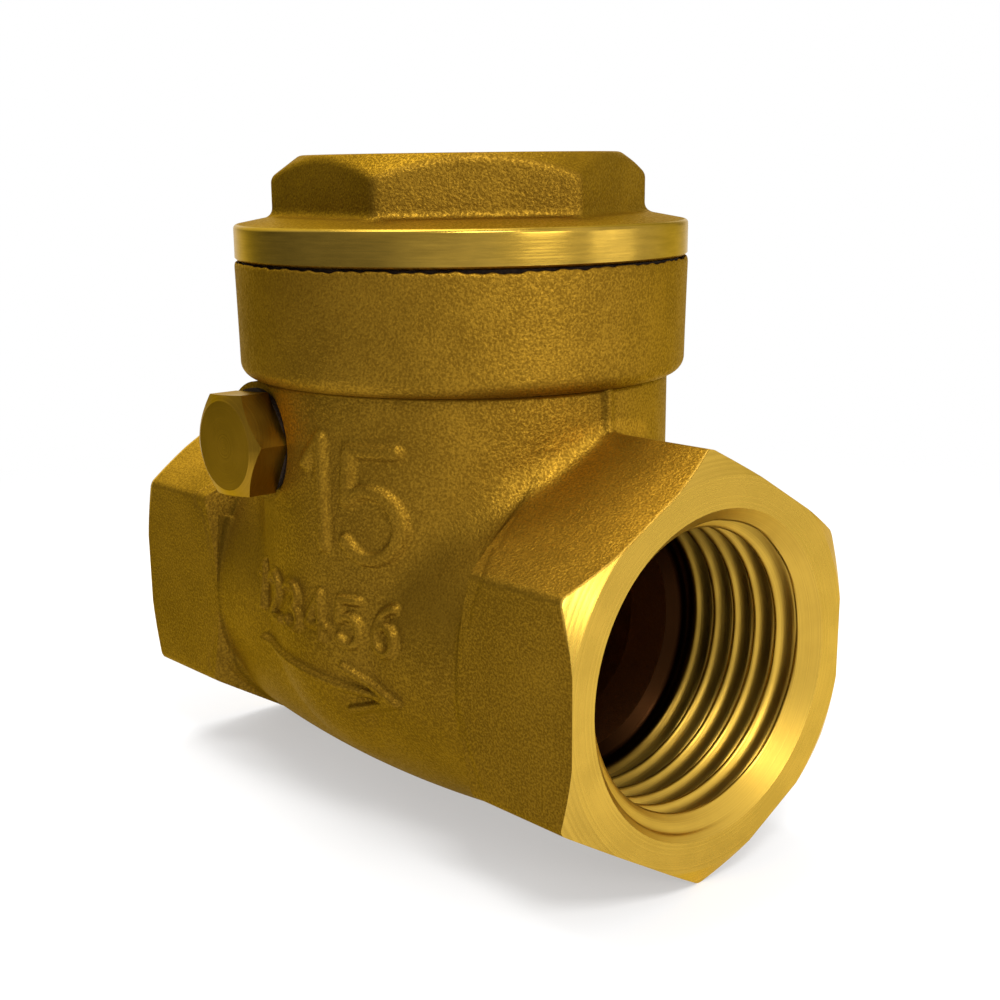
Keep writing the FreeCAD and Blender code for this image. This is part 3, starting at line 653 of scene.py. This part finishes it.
def bonnet_distance(place, sizes):
    """Distance from the bonnet above its seat, its hexagon's edges and foot rounded.

    The hexagon is cut by the top's level and by the cone of its turned corners, and stands on the
    flange, whose top rises from the rim to the crown.
    """
    rim_round, foot_share = 0.0003, 0.7
    x, y, z = place
    out = np.hypot(x, y)
    corner = math.cos(BONNET_TURN), math.sin(BONNET_TURN)
    towards, beside = x * corner[0] + y * corner[1], y * corner[0] - x * corner[1]
    flats = hexagon_distance(beside, towards, BONNET_APOTHEM, sizes.bonnet_round)
    lean = math.hypot(1.0, BONNET_CORNER_SLOPE)
    cone = (z - BONNET_TOP + (out - BONNET_TOP_RADIUS) * BONNET_CORNER_SLOPE) / lean
    edge = fillet_width(sizes.bonnet_round, BONNET_CORNER_SLOPE / lean)
    top = fillet_width(sizes.bonnet_round, 1.0 / lean)
    hexagon = -smooth_least(-flats, -cone, edge)
    hexagon = -smooth_least(-hexagon, BONNET_TOP - z, top)
    rise = (CROWN_TOP - FLANGE_TOP) / (FLANGE_RADIUS - BONNET_APOTHEM * 2 / math.sqrt(3))
    crown = np.minimum(FLANGE_TOP + (FLANGE_RADIUS - out) * rise, CROWN_TOP)
    flange = -smooth_least(crown - z, FLANGE_RADIUS - out, fillet_width(rim_round, rise))
    return smooth_least(hexagon, flange, fillet_width(sizes.bonnet_round * foot_share, 0.0))


def spaced(stops):
    """Rising values from (start, end, number) spans, each span's end left to the next."""
    spans = [np.linspace(start, end, number, endpoint=False) for start, end, number in stops]
    return np.concatenate(spans + [[stops[-1][1]]])


def run_of_points(strokes, place, size):
    """Segments of strokes, scaled by size (width, height) and put with their corner at place."""
    starts, ends = [], []
    for stroke in strokes:
        if isinstance(stroke, tuple):
            (mid_x, mid_z), (across, up), begin, finish = stroke
            turn = np.radians(np.linspace(begin, finish, 13))
            line = np.stack([mid_x + across * np.cos(turn), mid_z + up * np.sin(turn)], -1)
        else:
            line = np.array(stroke, float)
        line = line * np.array(size) + np.array(place)
        starts.append(line[:-1])
        ends.append(line[1:])
    return np.concatenate(starts), np.concatenate(ends)


def distance_to_segments(across, up, starts, ends):
    """Least distance of each point (across, up) from a set of segments."""
    point = np.stack([across, up], -1)[:, None, :]
    run = ends - starts
    share = ((point - starts) * run).sum(-1) / (run * run).sum(-1)
    nearest = starts + np.clip(share, 0.0, 1.0)[..., None] * run
    return np.hypot(*np.moveaxis(point - nearest, -1, 0)).min(1)


def figure_relief(across, up, sizes):
    """Height of the raised figures and the arrow over the forging's front.

    It is full within half a stroke's width of a centre line and falls off smoothly down its sides.
    """
    large = [
        run_of_points(FIGURES["1"], (0.0002, 0.0072), LARGE_FIGURE),
        run_of_points(FIGURES["5"], (0.0042, 0.0066), LARGE_FIGURE),
    ]
    arrow = [
        [(-0.0072, -0.0018), (0.0074, -0.0030)],
        [(0.0038, -0.0012), (0.0080, -0.0030), (0.0036, -0.0045)],
    ]
    small = [run_of_points(arrow, (0.0, 0.0), (1.0, 1.0))]
    for index, figure in enumerate("123456"):
        corner = (-0.0080 + 0.0029 * index, 0.0008 - 0.00008 * index)
        small.append(run_of_points(FIGURES[figure], corner, SMALL_FIGURE))
    relief = np.zeros_like(across)
    for lines, width in ((large, LARGE_STROKE), (small, SMALL_STROKE)):
        starts = np.concatenate([line[0] for line in lines])
        ends = np.concatenate([line[1] for line in lines])
        away = distance_to_segments(across, up, starts, ends)
        rise = np.clip((width * 0.5 + sizes.figure_slope * 0.5 - away) / sizes.figure_slope, 0.0, 1.0)
        relief = np.maximum(relief, rise * rise * (3.0 - 2.0 * rise) * sizes.figure_height)
    return relief


def first_crossing(centre, ray, distance, rise, start=0.009, end=0.03):
    """How far along each ray the distance first reaches rise: even steps, then halving.

    A ray that doesn't reach it is given the end.
    """
    steps = np.linspace(start, end, 64)
    inside = np.stack([distance(centre + ray * step) < rise for step in steps[:-1]])
    first = np.where(inside.all(0), len(steps) - 1, np.argmin(inside, axis=0))
    near, far = steps[np.maximum(first - 1, 0)], steps[first]
    for _ in range(20):
        middle = (near + far) * 0.5
        below = distance(centre + ray * middle) < rise
        near, far = np.where(below, middle, near), np.where(below, far, middle)
    return near


def skin_rays():
    """Angles of the skin's rays from the flow line and about it, closer together on the front.

    Four more lines on each side of the parting plane carry the flash.
    """
    low, fine_start, fine_end = np.radians((36.5, 50, 126))
    from_flow = spaced([
        (low, fine_start, 16), (fine_start, fine_end, 154), (fine_end, math.pi - low, 18),
    ])
    ridge = np.array([-0.034, -0.026, -0.02, -0.012, 0.0, 0.012, 0.02, 0.026])
    top, bottom = math.pi / 2, -math.pi / 2
    front_low, front_high = np.radians((-24, 52))
    about = np.concatenate([
        spaced([(-math.pi, bottom - 0.045, 52)])[:-1],
        bottom + ridge,
        spaced([(bottom + 0.034, front_low, 42)])[:-1],
        spaced([(front_low, front_high, 154)])[:-1],
        spaced([(front_high, top - 0.045, 24)])[:-1],
        top + ridge,
        spaced([(top + 0.034, math.pi, 52)])[:-1],
    ])
    return from_flow, about


def forging_skin(sizes):
    """Points and quads of the forging's outer skin between collar and hexagons.

    Rays leave a point on the bonnet axis, and each ends where the blended distance first rises
    past a hair above the solid. The relief is added across the parting plane and the flash
    along the ray. The skin's edges end inside the collar, on the hexagons and at the boss.
    """
    hair, marks_front, boss_margin = 0.000004, -0.004, 0.0002
    flash_steepness, flash_fade = 2.2, 0.0005
    from_flow, about = skin_rays()
    flow, turn = (values.ravel() for values in np.meshgrid(from_flow, about, indexing="ij"))
    ray = np.stack([np.cos(flow), -np.sin(flow) * np.cos(turn), np.sin(flow) * np.sin(turn)])
    centre = np.array([0.0, 0.0, 0.001])[:, None]
    plain = first_crossing(centre, ray, lambda place: forging_distances(place).min(0), 0.0)
    cosine = neck_and_barrel_cosine(centre + ray * plain)
    beside_barrel = fillet_width(sizes.barrel_fillet, cosine)
    reach = first_crossing(
        centre, ray, lambda place: blended_distance(place, beside_barrel, sizes), hair
    )
    points = centre + ray * reach
    front = points[1] < marks_front
    relief = np.zeros(points.shape[1])
    relief[front] = figure_relief(points[0][front], points[2][front], sizes)
    off_ends = np.clip(forging_distances(points)[2] / flash_fade, 0.0, 1.0)
    share = np.clip(1.0 - np.abs(points[1]) / (sizes.flash_width * 0.5), 0.0, 1.0) * off_ends
    points[1] -= relief
    points = points + ray * np.minimum(share * flash_steepness, 1.0) * sizes.flash_height
    faces = grid_faces(len(from_flow), len(about), True)
    boss = np.hypot(points[0] - PIVOT_X, points[2] - PIVOT_Z) < BOSS_RADIUS + boss_margin
    hidden = (points[2] > SKIN_TOP) | (boss & (points[1] < 0))
    faces = faces[~hidden[faces].any(1)]
    points[0] += BONNET_X
    return points.T, faces


def bonnet_skin(sizes):
    """Points and quads of the bonnet's outside above the flange's lower edge.

    Rays leave a point on the bonnet axis, low enough to reach the flange's side.
    """
    rises = spaced([
        (-3.77, 3.2, 6), (3.2, 4.8, 14), (4.8, 6.6, 6), (6.6, 10.5, 22), (10.5, 16.5, 10),
        (16.5, 30.0, 64), (30.0, 89.99, 8),
    ])
    angles = np.linspace(0.0, 2 * np.pi, 360, endpoint=False)
    rise, angle = (values.ravel() for values in np.meshgrid(np.radians(rises), angles, indexing="ij"))
    ray = np.stack([np.cos(rise) * np.cos(angle), np.cos(rise) * np.sin(angle), np.sin(rise)])
    centre = np.array([0.0, 0.0, 0.0267])[:, None]
    reach = first_crossing(centre, ray, lambda place: bonnet_distance(place, sizes), 0.0, 0.004, 0.02)
    points = centre + ray * reach
    points[0] += BONNET_X
    return points.T, grid_faces(len(rises), len(angles), True)


def collar_lip(sizes):
    """Points and quads of the burr that machining left on the collar's upper edge.

    Its section is a low arch, and its height about the collar is a sum of five waves, cut off at
    the highest.
    """
    middle, half_width, highest, sunk = 0.01582, 0.00014, 0.0004, 0.00002
    mean_share, wave_share = 0.8, 0.45
    angles = np.linspace(0.0, 2 * np.pi, 720, endpoint=False)
    waves = np.array([(3, 0.4), (7, 2.1), (17, 1.3), (41, 0.2), (89, 2.9)])
    height = np.sin(angles[:, None] * waves[:, 0] + waves[:, 1]).sum(1) / len(waves)
    height = sizes.lip_height * (mean_share + wave_share * height)
    arch = np.linspace(0.0, np.pi, 9)
    section, angle = np.meshgrid(arch, angles, indexing="ij")
    out = (middle + half_width * np.cos(section)).ravel()
    up = (COLLAR_TOP - sunk + np.minimum(height, highest) * np.sin(section)).ravel()
    angle = angle.ravel()
    points = np.stack([BONNET_X + out * np.cos(angle), out * np.sin(angle), up], -1)
    return points, grid_faces(len(arch), len(angles), True)


def solid_shell(node):
    """Points, triangles, corner normals, middles and mean normals of a CAD solid.

    Points that lie together are made one.
    """
    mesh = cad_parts[node].data
    points = read_all(mesh.vertices, "co", 3)
    faces = read_all(mesh.loops, "vertex_index", 1, np.int32).reshape(-1, 3)
    normals = read_all(mesh.corner_normals, "vector", 3).reshape(-1, 3, 3)
    _, first, same = np.unique(
        np.round(points * 1e7).astype(np.int64), axis=0, return_index=True, return_inverse=True
    )
    points, faces = points[first], same.reshape(-1)[faces]
    return points, faces, normals, points[faces].mean(1).T, normals.mean(1).T


def body_shell():
    """The body's solid without its mouths and threads: points, triangles and corner normals."""
    points, faces, normals, (x, y, z), (_, ny, nz) = solid_shell("valve_body")
    out = np.hypot(y, z)
    inward = (y * ny + z * nz) / np.maximum(out, 1e-9) < -0.1
    wall = np.zeros(len(x), bool)
    for end, face, (bore, lead) in ((1, OUTLET_FACE, OUTLET_BORE), (-1, INLET_FACE, INLET_BORE)):
        depth = (face - x) * end
        reach = MOUTH_DEPTH + THREAD_LENGTH + lead
        beyond = (depth < reach) & (depth > -TOUCHING) & (out > bore - TOUCHING)
        wall |= beyond & (out < MOUTH_RADIUS + TOUCHING) & inward
    return points, faces[~wall], normals[~wall].reshape(-1, 3)


def bonnet_shell():
    """The bonnet's solid without its outside above the flange's lower edge."""
    points, faces, normals, (x, y, z), (nx, ny, nz) = solid_shell("bonnet")
    outward = (x - BONNET_X) * nx + y * ny > 0.0
    outside = (z > FLANGE_FOOT + TOUCHING) & (outward | (nz > 0.1))
    return points, faces[~outside], normals[~outside].reshape(-1, 3)


def joined_mesh(name, shell, *skins):
    """A shell of triangles with its own corner normals and smooth skins of quads in one mesh."""
    points, faces, normals = ([part] for part in shell)
    for skin_points, skin_faces in skins:
        skin = make_mesh("skin", skin_points, skin_faces)
        corners = read_all(skin.corner_normals, "vector", 3).reshape(-1, 4, 3)
        quads = read_all(skin.loops, "vertex_index", 1, np.int32).reshape(-1, 4)
        faces.append(quads[:, [0, 1, 2, 0, 2, 3]].reshape(-1, 3) + sum(map(len, points)))
        points.append(read_all(skin.vertices, "co", 3))
        normals.append(corners[:, [0, 1, 2, 0, 2, 3]].reshape(-1, 3))
        bpy.data.meshes.remove(skin)
    mesh = make_mesh(name, np.concatenate(points), np.concatenate(faces))
    mesh.normals_split_custom_set(np.concatenate(normals))
    return mesh


def thread_lining(end, sizes):
    """Points and quads of a mouth, its right-hand thread and the lead to the bore beyond.

    Radius at depth s and angle a is the greatest of the mouth's cone, the plain wall and the
    thread's groove. The groove is a rounded V in the phase s / pitch + or - a / one turn.
    """
    face = OUTLET_FACE if end > 0 else INLET_FACE
    bore, lead = OUTLET_BORE if end > 0 else INLET_BORE
    last = MOUTH_DEPTH + THREAD_LENGTH
    depths = spaced([(0.0, last, 92), (last, last + lead, 4)])
    angles = np.linspace(0.0, 2 * np.pi, 192, endpoint=False)
    depth, angle = (values.ravel() for values in np.meshgrid(depths, angles, indexing="ij"))
    crest_flat, flank, rounding = 0.10, 0.80, 0.06
    plain_end, fading_turns = 0.0004, 0.8
    cone = MOUTH_RADIUS - (MOUTH_RADIUS - MINOR_RADIUS) * depth / MOUTH_DEPTH
    phase = depth / sizes.thread_pitch + end * angle / (2 * np.pi)
    ramp = np.abs((phase % 1.0) - 0.5) * 2.0
    groove = np.clip((ramp - crest_flat) / flank, 0.0, 1.0)
    groove = groove - rounding * np.sin(2 * np.pi * groove)
    fade = np.clip((last - plain_end - depth) / (sizes.thread_pitch * fading_turns), 0.0, 1.0)
    thread = MINOR_RADIUS + (sizes.thread_root - MINOR_RADIUS) * groove * fade
    radius = np.maximum(np.maximum(cone, MINOR_RADIUS), thread)
    inner = MINOR_RADIUS - (MINOR_RADIUS - bore) * (depth - last) / lead
    radius = np.where(depth > last, inner, radius)
    x = face - end * depth
    points = np.stack([x, radius * np.cos(angle), radius * np.sin(angle)], -1)
    faces = grid_faces(len(depths), len(angles), True)
    return points, faces if end > 0 else faces[:, ::-1]


# Operators

class ValveOperator:
    """What the valve's operators share."""

    bl_options = {"REGISTER", "UNDO"}

    def settings(self, context):
        return context.scene.valve_sizes, context.scene.valve_colours


class OBJECT_OT_valve_body(ValveOperator, bpy.types.Operator):
    """Replace the body's solid with its forged skin, relief and flash"""

    bl_idname = "object.valve_body"
    bl_label = "Forged Body"

    def execute(self, context):
        sizes, colours = self.settings(context)
        mesh = joined_mesh("body_forging", body_shell(), forging_skin(sizes), collar_lip(sizes))
        material = body_material(sizes, colours)
        new_piece("body_forging", mesh, "valve", "forged_brass", material, "valve_body")
        return {"FINISHED"}


class OBJECT_OT_valve_threads(ValveOperator, bpy.types.Operator):
    """Line both ends with their mouths and pipe threads"""

    bl_idname = "object.valve_threads"
    bl_label = "Pipe Threads"

    def execute(self, context):
        sizes, colours = self.settings(context)
        material = bore_material(colours)
        for name, end in (("outlet_thread_wall", 1), ("inlet_thread_wall", -1)):
            mesh = make_mesh(name, *thread_lining(end, sizes))
            new_piece(name, mesh, "valve", "machined_brass", material, "valve_body")
        return {"FINISHED"}


class OBJECT_OT_valve_bonnet(ValveOperator, bpy.types.Operator):
    """Finish the bonnet and its gasket"""

    bl_idname = "object.valve_bonnet"
    bl_label = "Bonnet and Gasket"

    def execute(self, context):
        sizes, colours = self.settings(context)
        mesh = joined_mesh("bonnet_forging", bonnet_shell(), bonnet_skin(sizes))
        new_piece("bonnet_forging", mesh, "valve", "forged_brass", bonnet_material(sizes, colours), "bonnet")
        dress("bonnet_gasket", soft_material(
            "Gasket fibre", colours.fibre, roughness=0.8, speck_scale=5200.0, depth=0.00002))
        return {"FINISHED"}


class OBJECT_OT_valve_plug(ValveOperator, bpy.types.Operator):
    """Finish the hinge plug and its washer"""

    bl_idname = "object.valve_plug"
    bl_label = "Hinge Plug"

    def execute(self, context):
        _, colours = self.settings(context)
        dress("pin_plug", turned_material(
            "Dull plug", colours.forged, PIN_AXIS, PIVOT, dull_share=0.75, roughness=0.34))
        dress("plug_washer", soft_material(
            "Washer fibre", colours.fibre, roughness=0.8, speck_scale=6000.0, depth=0.00001))
        return {"FINISHED"}


class OBJECT_OT_valve_flap(ValveOperator, bpy.types.Operator):
    """Finish the pin, the arm and the disc with its seal, washer and nut"""

    bl_idname = "object.valve_flap"
    bl_label = "Flap"

    def execute(self, context):
        sizes, colours = self.settings(context)
        dress("hinge_pin", turned_material(
            "Ground steel", colours.steel, PIN_AXIS, PIVOT, dull_share=0.8, roughness=0.25, pitch=0.00006))
        dress("hinge_arm", cast_material("Cast arm", colours.forged_deep, colours.forged, sizes.grain * 0.8))
        turned = (
            ("valve_disc", "Turned disc", 0.75, 0.30),
            ("disc_washer", "Turned washer", 0.8, 0.32),
            ("disc_nut", "Machined nut", 0.8, 0.30),
        )
        for node, name, dull_share, roughness in turned:
            dress(node, turned_material(name, colours.machined, DISC_AXIS, SEAT, dull_share, roughness))
        dress("disc_seal", soft_material(
            "Seal rubber", colours.rubber, roughness=0.5, speck_scale=4200.0, depth=0.00001))
        return {"FINISHED"}


class OBJECT_OT_valve_stage(ValveOperator, bpy.types.Operator):
    """Set up the floor, the light and the camera"""

    bl_idname = "object.valve_stage"
    bl_label = "Stage"

    # Level directions from the valve, away from the camera and to the side with no lamp
    BEHIND = (-0.763, 0.646, 0.0)
    UNLIT_SIDE = (-0.5, -0.866, 0.0)

    # The room's dimmest level, and its bright parts as
    # (direction, cosine where it starts, cosine where it is full, strength)
    DIMMEST = 0.13
    ROOM = (
        ((0.85, 0.50, 0.10), -0.10, 0.95, 0.95),
        ((0.45, -0.88, 0.10), 0.10, 1.0, 0.40),
        ((-0.70, 0.12, 0.70), 0.55, 0.95, 1.00),
        ((0.0, 0.0, 1.0), 0.30, 1.0, 0.35),
    )

    def execute(self, context):
        _, colours = self.settings(context)
        self.make_floor(colours)
        self.make_world(context)
        self.make_lamps(context)
        self.make_camera(context)
        context.scene.view_settings.view_transform = "Standard"
        return {"FINISHED"}

    def room_level(self, nodes, way):
        """How bright the room is in a direction: its dimmest level, its bright parts, white behind."""
        level = self.DIMMEST
        for direction, low, high, strength in self.ROOM:
            towards = nodes.vector("DOT_PRODUCT", way, direction)
            level = nodes.math("ADD", nodes.spread(towards, low, high, 0.0, strength), level)
        behind = nodes.spread(nodes.vector("DOT_PRODUCT", way, self.BEHIND), 0.80, 0.92)
        return nodes.blend(behind, level, 1.0)

    def make_floor(self, colours):
        """Pale disc below the valve, with painted shade that turns its glow down towards the side with no
        lamp, and as bright as the room far off.
        """
        level = CAD_BOX[0].z - 0.00002
        radii = spaced([(0.0005, 0.08, 12), (0.08, 3.0, 16)])
        angles = np.linspace(0.0, 2 * np.pi, 64, endpoint=False)
        out, angle = (values.ravel() for values in np.meshgrid(radii, angles, indexing="ij"))
        across, along = out * np.cos(angle) + BONNET_X, out * np.sin(angle)
        points = np.stack([across, along, np.full_like(out, level)], -1)
        mesh = make_mesh("floor", points, grid_faces(len(radii), len(angles), True))
        material, nodes, place = empty_material("Pale floor")
        centred = nodes.vector("SUBTRACT", place, (BONNET_X, 0.0, level))
        away, heading = nodes.vector("LENGTH", centred), nodes.vector("NORMALIZE", centred)
        far = nodes.spread(away, 0.06, 0.15)
        pale = nodes.mix(nodes.noise(place, 60.0, 3.0), colour(colours.floor, 0.985), colour(colours.floor))
        matt = nodes.add("ShaderNodeBsdfDiffuse", {"Color": pale})
        # Painted shade on the floor: from 6 cm out, its glow is turned down by up to 0.68 towards the side
        # with no lamp
        towards = nodes.vector("DOT_PRODUCT", heading, self.UNLIT_SIDE)
        painted_floor_shade = nodes.product(far, nodes.spread(towards, 0.42, 0.80, 0.0, 0.68))
        near, distant = nodes.math("SUBTRACT", 1.0, painted_floor_shade), self.room_level(nodes, heading)
        horizon = nodes.spread(away, 0.6, 2.6)
        glow = nodes.add("ShaderNodeEmission", {
            "Color": (1.0, 1.0, 1.0, 1.0), "Strength": nodes.blend(horizon, near, distant)})
        path = nodes.add("ShaderNodeLightPath")
        seen = nodes.math("MAXIMUM", path.outputs["Is Camera Ray"], path.outputs["Is Transmission Ray"])
        seen = nodes.math("MAXIMUM", seen, path.outputs["Is Glossy Ray"])
        share = nodes.product(seen, nodes.spread(far, 0.0, 1.0, 0.45, 1.0))
        mixed = nodes.add("ShaderNodeMixShader", {0: share, 1: matt.outputs[0], 2: glow.outputs[0]})
        nodes.add("ShaderNodeOutputMaterial", {"Surface": mixed.outputs[0]})
        floor = bpy.data.objects.new("floor", mesh)
        mesh.materials.append(material)
        bpy.context.scene.collection.objects.link(floor)

    def make_world(self, context):
        """Soft room round the valve."""
        world = bpy.data.worlds.new("Studio")
        context.scene.world = world
        world.use_nodes = True
        world.node_tree.nodes.clear()
        nodes = Nodes(world.node_tree)
        strength = self.room_level(nodes, nodes.add("ShaderNodeTexCoord").outputs["Generated"])
        backdrop = nodes.add("ShaderNodeBackground", {"Color": (1.0, 1.0, 1.0, 1.0), "Strength": strength})
        nodes.add("ShaderNodeOutputWorld", {"Surface": backdrop.outputs[0]})

    def make_lamps(self, context):
        """Soft boxes: the key beside the outlet, a low one behind, one above it and one overhead."""
        target = Vector((BONNET_X, 0.0, 0.008))
        lamps = (
            ("key", 89, 12, 0.36, 0.12, 0.31),
            ("side", 128, -2, 0.40, 0.18, 0.15),
            ("high", 62, 50, 0.40, 0.14, 0.90),
            ("top", -90, 74, 0.40, 0.26, 0.85),
        )
        for name, azimuth, elevation, reach, size, power in lamps:
            data = bpy.data.lights.new(name, "AREA")
            data.shape = "RECTANGLE"
            data.size = size
            data.size_y = size * 0.7
            data.energy = power
            lamp = bpy.data.objects.new(name, data)
            turn, rise = math.radians(azimuth), math.radians(elevation)
            level = math.cos(rise)
            back = Vector((math.sin(turn) * level, -math.cos(turn) * level, math.sin(rise)))
            lamp.location = target + back * reach
            lamp.rotation_euler = back.to_track_quat("Z", "Y").to_euler()
            context.scene.collection.objects.link(lamp)

    def make_camera(self, context):
        """Camera at the photograph's place: 50 degrees round from the plug's side, 15 above."""
        azimuth, elevation, roll, reach = 0.8679, 0.2574, -0.0130, 0.1148047
        target = Vector((BONNET_X, 0.0, 0.0025021))
        back = Vector((
            math.sin(azimuth) * math.cos(elevation),
            -math.cos(azimuth) * math.cos(elevation),
            math.sin(elevation),
        ))
        level = Vector((math.cos(azimuth), math.sin(azimuth), 0.0))
        rise = back.cross(level)
        right = level * math.cos(roll) + rise * math.sin(roll)
        above = rise * math.cos(roll) - level * math.sin(roll)
        data = bpy.data.cameras.new("camera")
        data.sensor_width = 36.0
        data.lens = 55.239
        data.shift_x = 0.03489
        data.shift_y = 0.06794
        data.clip_start = 0.005
        data.clip_end = 10.0
        camera = bpy.data.objects.new("camera", data)
        placing = Matrix((right, above, back)).transposed().to_4x4()
        placing.translation = target + back * reach
        camera.matrix_world = placing
        context.scene.collection.objects.link(camera)
        context.scene.camera = camera


class VIEW3D_PT_check_valve(bpy.types.Panel):
    """Sizes, colours and steps of the check valve."""

    bl_label = "Check Valve"
    bl_space_type = "VIEW_3D"
    bl_region_type = "UI"
    bl_category = "Check Valve"

    def draw(self, context):
        for settings in (context.scene.valve_sizes, context.scene.valve_colours):
            box = self.layout.box()
            for name in settings.__annotations__:
                box.prop(settings, name)
        for operator in OPERATORS:
            self.layout.operator(operator.bl_idname)


OPERATORS = (
    OBJECT_OT_valve_body,
    OBJECT_OT_valve_threads,
    OBJECT_OT_valve_bonnet,
    OBJECT_OT_valve_plug,
    OBJECT_OT_valve_flap,
    OBJECT_OT_valve_stage,
)
CLASSES = (ValveSizes, ValveColours, *OPERATORS, VIEW3D_PT_check_valve)


def register():
    for item in CLASSES:
        bpy.utils.register_class(item)
    bpy.types.Scene.valve_sizes = bpy.props.PointerProperty(type=ValveSizes)
    bpy.types.Scene.valve_colours = bpy.props.PointerProperty(type=ValveColours)


def unregister():
    del bpy.types.Scene.valve_colours
    del bpy.types.Scene.valve_sizes
    for item in reversed(CLASSES):
        bpy.utils.unregister_class(item)


def main():
    """Build every piece in order."""
    register()
    for operator in OPERATORS:
        group, name = operator.bl_idname.split(".")
        getattr(getattr(bpy.ops, group), name)()


if __name__ == "__main__":
    main()
